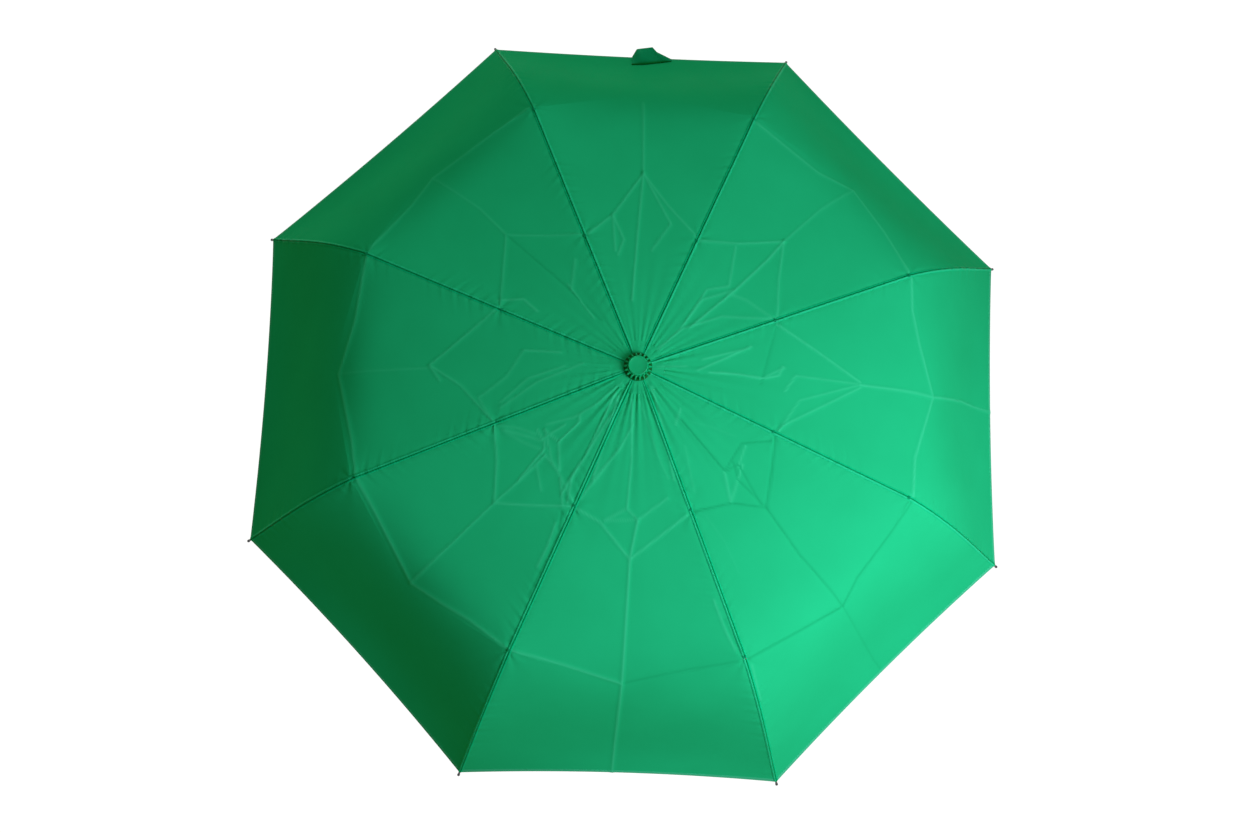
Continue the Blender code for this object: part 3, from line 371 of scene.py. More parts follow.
# Down the middle of a gore: where the two fold rings and the hem cross it, and its height at
# these distances from the shaft
FOLD_RINGS_R = (0.0300, 0.2150, 0.3410, 0.4408)
MID_R = (0.0300, 0.1100, 0.2150, 0.2780, 0.3410, 0.3800, 0.4150, 0.4408)
MID_Z = (0.5533, 0.5408, 0.5232, 0.5109, 0.4803, 0.4309, 0.3841, 0.3594)
# The cut along a rib: round the crown, then between its pivots and to the tip. The three spans
# beyond the crown: where each starts on the rib, length, widest width, and how it lies when the
# arm is folded: degrees that the pleat leans off the rib, to which side, and the width it keeps
CUT_LONG = (0.030, 0.135, 0.168, 0.228)
SPANS = (("inner", "top_arm", 0, CUT_LONG[1], 0.088, 1.0, -1, 0.092, CROWN_EDGE),
         ("middle", "middle_arm", 1, CUT_LONG[2], 0.131, 1.5, 1, 0.055, KNEE_TOP),
         ("outer", "tail_arm", 2, CUT_LONG[3], 0.185, 14.0, -1, 0.050, ELBOW_TOP))
HEM_WIDE = 0.0052
HEM_RAMP = 0.0004
HEM_ROWS = (0.0066, 0.0058, 0.0052, 0.0046, 0.0042, 0.0037, 0.0020, 0.0006, 0.0)


def arm_angle(arm):
    """The way an arm points, seen from above, in radians."""
    return (arm + 0.5) * 2 * HALF_GORE


def tail_line(t):
    """Where the cloth runs over a tail rib, elbow to tip."""
    start, end = np.array(ELBOW_TOP), np.array(TIP_TOP)
    hand = np.linalg.norm(end - start) * TAIL_HANDLE
    first, last = [np.array((math.cos(math.radians(a)), -math.sin(math.radians(a)))) for a in TAIL_DROOPS]
    one, two = start + hand * first, end - hand * last
    s = (1 - t)[:, None]
    t = t[:, None]
    return s ** 3 * start + 3 * s * s * t * one + 3 * s * t * t * two + t ** 3 * end


def over_rib(s):
    """Radius and height of the cloth over a rib: s is 0 at the crown, 1 and 2 at the pivots, 3 at the tip."""
    knots = np.array((CROWN_EDGE, KNEE_TOP, ELBOW_TOP))
    line = np.stack([np.interp(s, (0, 1, 2), knots[:, i]) for i in (0, 1)], 1)
    return np.where(s[:, None] > 2, tail_line(np.clip(s - 2, 0, 1)), line)


def mid_gore(s):
    """Radius, height and slope down the middle of a gore, a smooth curve through its known places."""
    r = np.interp(s, (0, 1, 2, 3), FOLD_RINGS_R)
    x, y = np.array(MID_R), np.array(MID_Z)
    h = np.diff(x)
    slope = np.diff(y) / h
    system = np.eye(len(x))
    right = np.zeros(len(x))
    for i in range(1, len(x) - 1):
        system[i, i - 1:i + 2] = h[i - 1], 2 * (h[i - 1] + h[i]), h[i]
        right[i] = 6 * (slope[i] - slope[i - 1])
    bend = np.linalg.solve(system, right)
    i = np.clip(np.searchsorted(x, r) - 1, 0, len(h) - 1)
    a, b = x[i + 1] - r, r - x[i]
    from_left, from_right = y[i] / h[i] - bend[i] * h[i] / 6, y[i + 1] / h[i] - bend[i + 1] * h[i] / 6
    height = (bend[i] * a ** 3 + bend[i + 1] * b ** 3) / (6 * h[i]) + from_left * a + from_right * b
    fall = (bend[i + 1] * b * b - bend[i] * a * a) / (2 * h[i]) - from_left + from_right
    return r, height, fall


def half_width(s):
    """Half a gore's width, from rib to middle."""
    return mid_gore(s)[0] * math.sin(HALF_GORE)


def down_the_cut(s):
    """How far from the shaft a place on the rib line lies on the flat cut."""
    return np.interp(s, (0, 1, 2, 3), np.cumsum(CUT_LONG))


def taut(arm, side, s, u):
    """Points of the taut cloth between rib u = 0 and mid-gore u = 1 on one side of an arm."""
    rib = over_rib(s)
    mid_r, mid_z, fall = mid_gore(s)
    a = arm_angle(arm)
    b = a + side * HALF_GORE
    chord = rib[:, 0] * math.cos(HALF_GORE)
    bowed = np.clip(s - 2, 0, 1) ** 2
    drop = np.minimum(mid_z - rib[:, 1], -1e-4)
    level = np.clip(fall * (mid_r - chord) * (1 - bowed) / drop, 0, 2)
    share = (2 - level) * u + (level - 1) * u * u
    reach = u * chord + (mid_r - chord) * (bowed * u * (2 - u) + (1 - bowed) * u)
    flat = (1 - u) * rib[:, 0] * np.exp(1j * a) + reach * np.exp(1j * b)
    return np.stack((flat.real, flat.imag, (1 - share) * rib[:, 1] + share * mid_z), 1)


# Sharp folds, each as its height and half-width in millimetres and the places that it runs through,
# seen from above in millimetres from the shaft; one pressed the other way has its height below nothing
FOLDS = (
    (0.5, 2.0, (-5, -36), (-3, -100), (-6, -151)),
    (0.5, 2.0, (-6, -151), (-30, -165)), (0.5, 2.0, (-6, -151), (6, -163)),
    (0.6, 2.0, (-64, -151), (-34, -167), (-1, -205), (59, -156)),
    (0.7, 2.2, (6, -163), (-1, -205), (-2, -248), (-4, -337), (-8, -442)),
    (0.5, 2.0, (6, -163), (37, -139)), (0.4, 2.0, (-30, -165), (6, -163)),
    (0.8, 2.2, (-126, -305), (-70, -318), (-4, -337)), (-0.4, 2.0, (-4, -337), (64, -320), (128, -308)),
    (-0.7, 2.0, (128, -308), (187, -275), (238, -246), (252, -214), (285, -167), (309, -129)),
    (-0.3, 2.0, (238, -246), (304, -312)), (-0.6, 2.0, (238, -246), (184, -193), (145, -144)),
    (-0.7, 2.0, (62, -153), (107, -141), (145, -144), (150, -103), (153, -66)),
    (-0.5, 2.0, (145, -144), (113, -116), (107, -97)),
    (0.9, 2.6, (308, 125), (310, 87), (320, 49), (339, -7), (324, -49), (313, -80), (309, -129)),
    (0.7, 2.2, (442, 1), (390, 2), (339, -7), (248, -3)),
    (0.6, 2.2, (153, 58), (196, 33), (249, 0)), (-0.5, 2.0, (153, 58), (136, -10)),
    (0.4, 2.0, (175, 2), (246, -2)), (0.5, 2.0, (175, 2), (163, -16)),
    (0.5, 2.0, (162, 10), (138, -3), (90, 0)), (0.5, 2.0, (153, -66), (160, -55), (249, -6)),
    (0.4, 2.0, (248, -3), (180, -25), (153, -66)),
    (0.6, 2.2, (66, 150), (107, 150), (161, 157)), (0.4, 2.2, (161, 157), (204, 200), (247, 234)),
    (0.7, 2.2, (161, 157), (143, 134), (106, 95), (56, 48)),
    (0.6, 2.6, (125, 303), (204, 248), (247, 234), (280, 182), (308, 125)),
    (0.5, 2.0, (153, 58), (155, 110), (161, 157)), (0.5, 2.0, (69, 81), (45, 45), (21, 20)),
    (0.5, 2.0, (106, 95), (69, 81)),
    (0.5, 2.2, (-1, 326), (0, 285), (1, 230)), (0.6, 2.0, (1, 230), (-32, 177), (-59, 153)),
    (0.5, 2.0, (-32, 177), (-28, 134)), (0.5, 2.0, (-32, 177), (-19, 148), (-25, 129)),
    (0.6, 2.2, (1, 230), (-4, 153), (-8, 76)), (0.5, 2.0, (1, 230), (33, 169), (12, 136)),
    (0.5, 2.0, (1, 230), (29, 192), (66, 150)),
    (0.6, 2.6, (-305, 126), (-299, 137), (-259, 190), (-239, 224), (-186, 267), (-126, 312)),
    (0.4, 2.2, (-239, 224), (-182, 183), (-150, 151)),
    (-0.4, 2.0, (-150, 151), (-83, 92), (-42, 52)), (0.5, 2.0, (-150, 151), (-152, 67)),
    (0.4, 2.0, (-150, 151), (-101, 150), (-59, 153)),
    (0.9, 2.6, (-305, 126), (-315, 51), (-331, -8), (-309, -84), (-301, -125)),
    (0.5, 2.2, (-152, 67), (-195, 28), (-227, 0), (-215, -17)),
    (0.4, 2.0, (-124, 17), (-142, -13), (-171, -36), (-157, -58)),
    (0.5, 2.0, (-227, 0), (-192, -22), (-153, -63)), (0.3, 2.4, (-331, -8), (-226, -3)),
    (0.5, 2.0, (-124, 17), (-84, 15)),
    (0.9, 2.6, (-301, -125), (-280, -160), (-238, -236), (-203, -257), (-170, -275), (-126, -305)),
    (0.5, 2.2, (-238, -236), (-195, -195), (-149, -149)),
    (0.6, 2.2, (-153, -63), (-148, -103), (-149, -149), (-110, -151), (-64, -151)),
    (0.5, 2.0, (-149, -149), (-122, -124), (-96, -97)), (0.5, 2.0, (-97, -70), (-89, -102), (-65, -144)),
    (0.5, 2.0, (-141, -71), (-102, -81), (-76, -64)),
    (0.5, 1.5, (22, 22), (48, 46), (91, 63), (153, 64)),
    (0.5, 1.5, (50, 53), (74, 93), (99, 99), (106, 146)),
    (0.5, 1.4, (93, 82), (99, 90), (118, 84), (149, 64)),
    (0.6, 1.5, (78, -1), (112, -1), (137, -4), (156, 1), (160, 11)),
    (0.6, 1.8, (65, 0), (92, 14), (124, 31)), (0.5, 1.8, (71, 13), (122, 29)),
    (0.4, 1.5, (21, 1), (53, 4)), (0.6, 2.2, (-20, -32), (-44, -122)),
    (0.6, 2.4, (-27, -52), (-68, -123)), (0.5, 2.2, (16, -21), (34, -80), (43, -119)),
    (0.5, 1.4, (48, -43), (43, -60)), (-0.6, 1.4, (49, -55), (98, -107), (116, -76), (149, -72)),
    (0.5, 1.4, (113, -102), (120, -79)), (0.6, 1.4, (-106, -70), (-98, -82), (-97, -90), (-124, -124)),
    (0.6, 1.4, (-98, -70), (-82, -82), (-61, -61), (-60, -53)), (0.6, 1.4, (-82, -82), (-80, -113)),
    (0.6, 1.4, (-99, -94), (-82, -113)), (0.4, 2.2, (-147, -47), (-108, -18), (-59, 3)),
    (0.4, 2.2, (-147, -41), (-118, -14), (-79, 0)), (0.6, 1.4, (98, -108), (106, -140)),
    (-0.5, 1.4, (98, -108), (113, -99), (140, -143)),
    (0.6, 1.4, (106, -140), (118, -99)), (0.5, 1.8, (91, -245), (105, -278), (116, -297)),
    (0.4, 1.6, (135, -313), (149, -350)), (0.5, 1.5, (-79, 93), (-49, 54)),
    (0.5, 1.5, (-75, 85), (-72, 122)), (0.6, 1.4, (-155, 73), (-127, 75), (-111, 61)),
    (0.7, 1.8, (-23, -29), (-40, -66), (-54, -98), (-69, -123), (-77, -139)),
    (-0.5, 1.6, (-35, -50), (-47, -80), (-60, -109)), (0.6, 1.3, (-79, -121), (-75, -151)),
    (0.6, 1.3, (-66, -117), (-69, -137), (-70, -147)),
    (0.5, 1.5, (-3, -62), (-16, -88), (-34, -110), (-56, -142)),
    (0.4, 1.6, (-17, -88), (-39, -120), (-53, -135)),
    (-0.6, 1.8, (-76, -157), (-79, -179), (-88, -203), (-99, -226), (-109, -248)),
    (0.5, 1.6, (-82, -169), (-90, -194), (-100, -216)), (0.4, 1.3, (-147, -66), (-125, -69), (-107, -75)),
    (0.4, 1.3, (-143, -71), (-122, -83), (-102, -91)), (0.4, 1.3, (-105, -108), (-103, -117), (-99, -135)),
    (0.4, 1.8, (-17, -18), (-44, -42), (-67, -56), (-96, -64)),
    (0.2, 2.4, (3, -37), (14, -63), (23, -90), (37, -118)), (-0.4, 2.0, (25, -59), (39, -96), (56, -129)),
    (0.2, 2.4, (54, -82), (61, -112), (66, -131)), (0.1, 2.6, (79, -156), (101, -183), (117, -215)),
    (-0.4, 1.6, (103, -265), (114, -287), (122, -299)), (0.1, 2.2, (60, -56), (81, -60), (109, -69)),
)
# A fold this high in millimetres counts as fully pressed, and its mark reaches so far beside it
FULLY_PRESSED, MARK_WIDE = 0.7, 1.2


def folds(place):
    """How far the cloth stands up along its folds, in metres, and a signed mark of how sharply each was made,
    which the cloth's colour uses for a paler line of wear and painted highlight on raised folds and for
    painted shade in sunk ones.
    """
    flat = place[:, 0] * 1000 + 1j * place[:, 1] * 1000
    height, crease_wear_and_painted_light = np.zeros(len(place)), np.zeros(len(place))
    for high, wide, *run in FOLDS:
        run = [complex(*p) for p in run]
        near = np.full(len(place), 1e3)
        for a, b in zip(run, run[1:]):
            along = np.clip(((flat - a) * np.conj(b - a)).real / abs(b - a) ** 2, 0, 1)
            near = np.minimum(near, abs(flat - a - along * (b - a)))
        height += 0.8 * high * np.exp(-(near / (0.75 * wide)) ** 2 / 2) * np.exp(-near / (3 * wide))
        mark = max(min(high / FULLY_PRESSED, 1), -1) * np.exp(-(near / MARK_WIDE) ** 2)
        crease_wear_and_painted_light = np.where(abs(mark) > abs(crease_wear_and_painted_light), mark, crease_wear_and_painted_light)
    return height / 1000, crease_wear_and_painted_light


# Puckers, in metres. Round the cap: their least height, what the side away from the tie strap
# adds, how far they reach and where they start; beside a seam and round a tack: height and reach;
# last, how far the stitches of a seam and the thread of a tack pull the cloth down, and how wide
CAP_PUCKER, CAP_PUCKER_MORE, CAP_PUCKER_REACH, CAP_RIM = 0.00032, 0.00042, 0.066, 0.014
SEAM_PUCKER, SEAM_PUCKER_REACH = 0.00027, 0.009
TACK_PUCKER, TACK_PUCKER_REACH = 0.00075, 0.011
SEAM_DIP, TACK_DIP, DIP_WIDE = 0.0006, 0.0009, 0.0040


def pucker_height(place, arm, s, u):
    """Puckers that the tight cap, the seams and the tacks draw into the cloth, in metres."""
    flat = place[:, 0] + 1j * place[:, 1]
    radius, angle = abs(flat), np.angle(flat)
    rays = np.sin(31 * angle + 2.0 * np.sin(5 * angle)) + 0.7 * np.sin(53 * angle + 1.3)
    drawn = CAP_PUCKER + CAP_PUCKER_MORE * np.clip(0.4 + np.cos(angle + 1.05), 0, 2)
    height = drawn * rays * np.exp(-radius / CAP_PUCKER_REACH)
    height *= np.clip((radius - CAP_RIM) / CAP_RIM, 0, 1)
    across = u * half_width(s)
    slant = (radius + 0.5 * across) * 2 * math.pi
    wave = np.sin(slant / 0.0130 + 2.1 * arm) + 0.7 * np.sin(slant / 0.0073 + 3.7 * arm)
    strong = 0.5 + 0.5 * np.sin(slant / 0.131 + 1.3 * arm)
    height += SEAM_PUCKER * (0.35 + strong) * wave * np.exp(-across / SEAM_PUCKER_REACH)
    height -= SEAM_DIP * np.clip((2.65 - s) / 0.4, 0, 1) * np.exp(-(across / DIP_WIDE) ** 2)
    for pivot in (KNEE_TOP[0], ELBOW_TOP[0]):
        away = flat - pivot * np.exp(1j * arm_angle(arm))
        far = abs(away)
        star = np.cos(7 * np.angle(away) + arm) * np.exp(-far / TACK_PUCKER_REACH)
        height += TACK_PUCKER * star * (1 - np.exp(-(far / 0.003) ** 2))
        height -= TACK_DIP * np.exp(-(far / DIP_WIDE) ** 2)
    return height


def smooth(t):
    """Ease from 0 to 1 with no kink at either end."""
    return t * t * (3 - 2 * t)


def hem_share(s):
    """1 on the doubled cloth of the hem, 0 above it."""
    edge = (3 - s) * SPANS[2][3]
    return smooth(np.clip((HEM_WIDE + HEM_RAMP - edge) / (2 * HEM_RAMP), 0, 1))


def raised(place, arm, s, u):
    """The same cloth with its folds, puckers and hem, moved along one smooth field of directions."""
    out = place - np.array((0, 0, BULGE_CENTRE))
    out /= np.linalg.norm(out, axis=1)[:, None]
    high = folds(place)[0] + pucker_height(place, arm, s, u) + CLOTH_THICK * hem_share(s)
    return place + out * high[:, None]


def grid_faces(rows, columns, flip):
    """Quads of a grid of points, row by row."""
    faces = []
    for i in range(rows):
        for j in range(columns):
            a = i * (columns + 1) + j
            quad = (a, a + columns + 1, a + columns + 2, a + 1)
            faces.append(quad[::-1] if flip else quad)
    return faces


def sewn(name, points, faces, cut, marks, thick, material):
    """A piece of cloth from its points, its places on the flat cut and its marks for the material."""
    mesh = bpy.data.meshes.new(name)
    mesh.from_pydata(points.tolist(), [], faces)
    corners = np.zeros(len(mesh.loops), int)
    mesh.loops.foreach_get("vertex_index", corners)
    mesh.uv_layers.new(name="flat_cut").data.foreach_set("uv", cut[corners].ravel())
    for mark, values in marks.items():
        mesh.attributes.new(mark, "FLOAT", "POINT").data.foreach_set("value", values.astype(np.float32))
    mesh.shade_smooth()
    used = np.zeros(len(mesh.loops), int)
    mesh.loops.foreach_get("edge_index", used)
    cut_edges = np.bincount(used, minlength=len(mesh.edges)) == 1
    mesh.attributes.new("sharp_edge", "BOOLEAN", "EDGE").data.foreach_set("value", cut_edges)
    mesh.materials.append(material)
    piece = bpy.data.objects.new(name, mesh)
    bpy.context.scene.collection.objects.link(piece)
    solid = piece.modifiers.new("cloth_thickness", "SOLIDIFY")
    solid.thickness = thick
    solid.offset = 0
    return piece


# Plain-weave polyester with a water-repellent finish: a crisp, faintly lustrous cloth. Its threads
# are 0.2 mm apart and are drawn 0.6 mm apart to show at all, with slubs of 3 mm and clouds of dye
# 7 cm wide. The hem is two layers thick, so paler. Raised creases carry a paler line, partly wear and
# partly painted highlight, and sunk ones painted shade. Its IOR is set far down, as the white room would veil
# it otherwise.
polyester, shader = blank("plain_weave_polyester", 0.5)
cut = add(polyester, "ShaderNodeUVMap", uv_map="flat_cut")
warp = add(polyester, "ShaderNodeTexWave", {"Vector": cut.outputs[0]}, {"Scale": 523.0, "Distortion": 0.0},
           bands_direction="X")
weft = add(polyester, "ShaderNodeTexWave", {"Vector": cut.outputs[0]}, {"Scale": 523.0, "Distortion": 0.0},
           bands_direction="Y")
weave = add(polyester, "ShaderNodeMath", {0: warp.outputs["Fac"], 1: weft.outputs["Fac"]},
            operation="MULTIPLY")
where = add(polyester, "ShaderNodeTexCoord")
slub = add(polyester, "ShaderNodeTexNoise", {"Vector": where.outputs["Object"]},
           {"Scale": 330.0, "Detail": 3.0})
cloud = add(polyester, "ShaderNodeTexNoise", {"Vector": where.outputs["Object"]},
            {"Scale": 14.0, "Detail": 3.0})
grain = add(polyester, "ShaderNodeMath", {0: weave.outputs[0], 1: slub.outputs["Fac"]}, operation="ADD")
bump = add(polyester, "ShaderNodeBump", {"Height": grain.outputs[0]}, {"Strength": 0.22, "Distance": 0.00012})
dye = add(polyester, "ShaderNodeMix", {"Factor": cloud.outputs["Fac"]},
          {6: linear("1abb73"), 7: linear("1ec77d")}, data_type="RGBA")
layer = add(polyester, "ShaderNodeAttribute", attribute_name="hem_layer")
paler = add(polyester, "ShaderNodeMath", {0: layer.outputs["Fac"]}, {1: 0.5}, operation="MULTIPLY")
toned = add(polyester, "ShaderNodeMix", {"Factor": paler.outputs[0], 6: dye.outputs[2]},
            {7: linear("52c79a")}, data_type="RGBA")
# Crease lines: paler on raised folds, partly wear and partly painted highlight; darker on sunk folds as
# painted shade
crease = add(polyester, "ShaderNodeAttribute", attribute_name="crease")
dull = add(polyester, "ShaderNodeMapRange", {"Value": crease.outputs["Fac"]},
           {"To Min": 0.52, "To Max": 0.40})
wear_and_highlight_line = add(polyester, "ShaderNodeMath", {0: crease.outputs["Fac"]}, {1: 0.34}, operation="MULTIPLY",
                use_clamp=True)
painted_crease_shade = add(polyester, "ShaderNodeMath", {0: crease.outputs["Fac"]}, {1: -0.42}, operation="MULTIPLY",
                use_clamp=True)
crease_wear_and_highlight = add(polyester, "ShaderNodeMix", {"Factor": wear_and_highlight_line.outputs[0], 6: toned.outputs[2]},
           {7: linear("48e6a4")}, data_type="RGBA")
crease_wear_and_painted_light = add(polyester, "ShaderNodeMix", {"Factor": painted_crease_shade.outputs[0], 6: crease_wear_and_highlight.outputs[2]},
              {7: linear("0a9452")}, data_type="RGBA")
coat(shader, crease_wear_and_painted_light, dull, bump)
shader.inputs["IOR"].default_value = 1.022

gores = {}
for arm in range(ARMS):
    number = arm + 1
    a = arm_angle(arm)
    outward = np.array((math.cos(a), math.sin(a), 0))
    for side, hand in ((1, "left"), (-1, "right")):
        sideways = side * np.array((-math.sin(a), math.cos(a), 0))
        for span, body, s0, long, wide, lean, way, keep, pivot in SPANS:
            lines = np.linspace(s0, s0 + 1, int(long / CLOTH_STEP) + 1)
            if span == "outer":
                above_hem = lines < 3 - (HEM_ROWS[0] + 0.0010) / long
                lines = np.concatenate((lines[above_hem], 3 - np.array(HEM_ROWS) / long))
            columns = int(wide / CLOTH_STEP)
            s, u = [g.ravel() for g in np.meshgrid(lines, np.linspace(0, 1, columns + 1), indexing="ij")]
            flat = taut(arm, side, s, u)
            points = raised(flat, arm, s, u)
            across = side * u * half_width(s)
            marks = {"hem_layer": hem_share(s), "crease": folds(flat)[1]}
            piece = sewn(f"gore_{span}_{number}_{hand}", points,
                         grid_faces(len(lines) - 1, columns, side < 0),
                         np.stack((across + CUT_MARGIN, down_the_cut(s)), 1), marks, CLOTH_THICK, polyester)
            quads = flat.reshape(len(lines), columns + 1, 3)
            area = np.linalg.norm(np.cross(quads[1:, :-1] - quads[:-1, :-1],
                                           quads[:-1, 1:] - quads[:-1, :-1]), axis=2).sum()
            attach(piece, f"{body}_{number}")
            if arm == 0 and side == 1:
                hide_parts("canopy")
            ends = [over_rib(np.array([float(x)]))[0] for x in (s0, s0 + 1)]
            run = (ends[1] - ends[0]) / np.linalg.norm(ends[1] - ends[0])
            normal = -run[1] * outward + np.array((0, 0, run[0]))
            lean = math.radians(lean)
            pleat = math.cos(lean) * sideways + way * math.sin(lean) * normal
            anchor = pivot[0] * outward + np.array((0, 0, pivot[1]))
            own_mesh(piece)
            gores[span, arm, side] = piece, area, long, wide, pleat, anchor

# The crown of the canopy. The eight gores run together under the cap, gathered round the shaft
# with a drawn thread, so their last three centimetres stay with the shaft and bend at its edge.
# Puckers and folds start between the two radii of CROWN_LOOSE, beyond the cap.
UNDER_CAP = (0.0118, 0.55505)
CROWN_RINGS = np.array((0.0034, 0.0060, 0.0090))
CROWN_CUT = 0.012
CROWN_LOOSE = (0.0125, 0.0205)
crown_shares = np.concatenate((CROWN_RINGS / UNDER_CAP[0] - 1, np.linspace(0, 1, 12)))
crown_columns = 2 * max(int(CROWN_CUT / CLOTH_STEP), 3)


def gathered(arm, side, u, f):
    """Cloth round the crown, flat and as it lies: f is -1 at the shaft, 0 under the cap, 1 at its edge."""
    turn = arm_angle(arm) + side * u * HALF_GORE
    ring = UNDER_CAP[0] * (1 + np.minimum(f, 0))
    inner = np.stack((ring * np.cos(turn), ring * np.sin(turn), np.full(len(u), UNDER_CAP[1])), 1)
    out = np.maximum(f, 0)[:, None]
    flat = inner * (1 - out) + taut(arm, side, np.zeros(len(u)), u) * out
    loose = np.interp(np.hypot(flat[:, 0], flat[:, 1]), CROWN_LOOSE, (0, 1))[:, None]
    return flat, flat * (1 - loose) + raised(flat, arm, np.zeros(len(u)), u) * loose


def bend_at_crown(piece):
    """Bake a piece of cloth's placing into its mesh, where it then stays."""
    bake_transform(piece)


for arm in range(ARMS):
    across = np.linspace(-1, 1, crown_columns + 1)
    f, turn = [g.ravel() for g in np.meshgrid(crown_shares, across, indexing="ij")]
    flat, points = np.zeros((len(f), 3)), np.zeros((len(f), 3))
    for side in (1, -1):
        chosen = turn >= 0 if side > 0 else turn < 0
        flat[chosen], points[chosen] = gathered(arm, side, abs(turn[chosen]), f[chosen])
    radius = np.hypot(flat[:, 0], flat[:, 1])
    piece = sewn(f"gore_crown_{arm + 1}", points, grid_faces(len(crown_shares) - 1, crown_columns, False),
                 np.stack((turn * CROWN_CUT + CUT_MARGIN, radius), 1),
                 {"hem_layer": np.zeros(len(flat)), "crease": folds(flat)[1]}, CLOTH_THICK, polyester)
    bend_at_crown(piece)

# The seams. Neighbouring gores are joined by a felled seam over each rib: the edges are turned
# under and stitched flat, which leaves a low ridge with a stitched valley beside it. Each place
# across the seam has its distance and height in millimetres, then its painted shade, which below nothing is
# painted highlight.
SEAM_SHAPE = ((-2.6, 0.0), (-2.0, 0.45), (-1.2, 1.05), (-0.4, 0.95), (0.1, 0.20), (0.7, 0.10), (1.3, 0.45),
              (1.9, 0.50), (2.6, 0.0))
SEAM_PAINTED_SHADING = (0.0, -0.2, -0.7, -0.3, 1.0, 1.0, 0.25, -0.1, 0.0)
SEAM_STEP = 0.0025
# The same cloth turned under and sewn: 3 mm stitches of spun thread, with painted shade in the
# valley where they pull the cloth down, and a ridge rubbed paler with a painted highlight on it
seam_cloth, shader = blank("felled_polyester_seam", 0.5)
cut = add(seam_cloth, "ShaderNodeUVMap", uv_map="flat_cut")
thread = add(seam_cloth, "ShaderNodeTexWave", {"Vector": cut.outputs[0]}, {"Scale": 105.0, "Distortion": 0.4},
             bands_direction="Y")
where = add(seam_cloth, "ShaderNodeTexCoord")
cloud = add(seam_cloth, "ShaderNodeTexNoise", {"Vector": where.outputs["Object"]},
            {"Scale": 45.0, "Detail": 4.0})
tone = add(seam_cloth, "ShaderNodeMix", {"Factor": cloud.outputs["Fac"]},
           {6: linear("00b46d"), 7: linear("0acb82")}, data_type="RGBA")
bump = add(seam_cloth, "ShaderNodeBump", {"Height": thread.outputs["Fac"]},
           {"Strength": 0.5, "Distance": 0.00025})
# Signed mark across the seam: painted shade in the valley, painted highlight on the ridge
valley = add(seam_cloth, "ShaderNodeAttribute", attribute_name="painted_seam_shading")
painted_valley_shade = add(seam_cloth, "ShaderNodeMath", {0: valley.outputs["Fac"]}, {1: 0.8}, operation="MULTIPLY")
painted_crest_highlight = add(seam_cloth, "ShaderNodeMath", {0: valley.outputs["Fac"]}, {1: -0.6}, operation="MULTIPLY",
            use_clamp=True)
rubbed = add(seam_cloth, "ShaderNodeMix", {"Factor": painted_crest_highlight.outputs[0], 6: tone.outputs[2]},
             {7: linear("3fdd9c")}, data_type="RGBA")
shaded = add(seam_cloth, "ShaderNodeMix", {"Factor": painted_valley_shade.outputs[0], 6: rubbed.outputs[2]},
             {7: linear("00681e")}, data_type="RGBA")
coat(shader, shaded, bump=bump)
shader.inputs["IOR"].default_value = 1.06
SEAM_PROUD = 0.0002
seam_across = np.array([beside / 1000 + 0.01 for beside, high in SEAM_SHAPE])


def seam_piece(name, ridges, down):
    """A strip of seam from the lines of points that run along it, with painted shade in its stitched valley
    and a painted highlight on its ridge.
    """
    rows = len(down)
    piece = sewn(name, np.stack(ridges, 1).reshape(-1, 3), grid_faces(rows - 1, len(SEAM_SHAPE) - 1, False),
                 np.stack((np.tile(seam_across, rows), np.repeat(down, len(SEAM_SHAPE))), 1),
                 {"painted_seam_shading": np.tile(SEAM_PAINTED_SHADING, rows)}, CLOTH_THICK, seam_cloth)
    return piece


for arm in range(ARMS):
    number = arm + 1
    a = arm_angle(arm)
    outward = Vector((math.cos(a), math.sin(a), 0))
    # Round the crown a seam is gathered to half its width
    f = np.linspace(0.02, 1, 9)
    ridges = []
    for beside, high in SEAM_SHAPE:
        width = abs(beside) / 1000 * (0.55 + 0.45 * f)
        u = width / ((UNDER_CAP[0] * (1 - f) + CROWN_EDGE[0] * f) * math.sin(HALF_GORE))
        ridge = gathered(arm, 1 if beside > 0 else -1, u, f)[1]
        ridge[:, 2] += (SEAM_PROUD + high / 1000) * np.clip(0.1 + 1.4 * f, 0, 1)
        ridges.append(ridge)
    piece = seam_piece(f"seam_crown_{number}", ridges, CROWN_CUT + (CUT_LONG[0] - CROWN_CUT) * f)
    bend_at_crown(piece)
    for part, s0, s1, long, inner, outer, pivot in (
            ("inner", 0.0, 1.5, 0.22, f"top_arm_{number}", f"middle_arm_{number}", KNEE_TOP),
            ("outer", 1.5, 3.0, 0.31, f"middle_arm_{number}", f"tail_arm_{number}", ELBOW_TOP)):
        lines = np.linspace(s0, s1, int(long / SEAM_STEP) + 1)
        ridges = []
        for beside, high in SEAM_SHAPE:
            side = 1 if beside > 0 else -1
            u = abs(beside) / 1000 / half_width(lines)
            ridge = raised(taut(arm, side, lines, u), arm, lines, u)
            ridge[:, 2] += SEAM_PROUD + high / 1000
            ridges.append(ridge)
        piece = seam_piece(f"seam_{part}_{number}", ridges, down_the_cut(lines))
        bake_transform(piece)

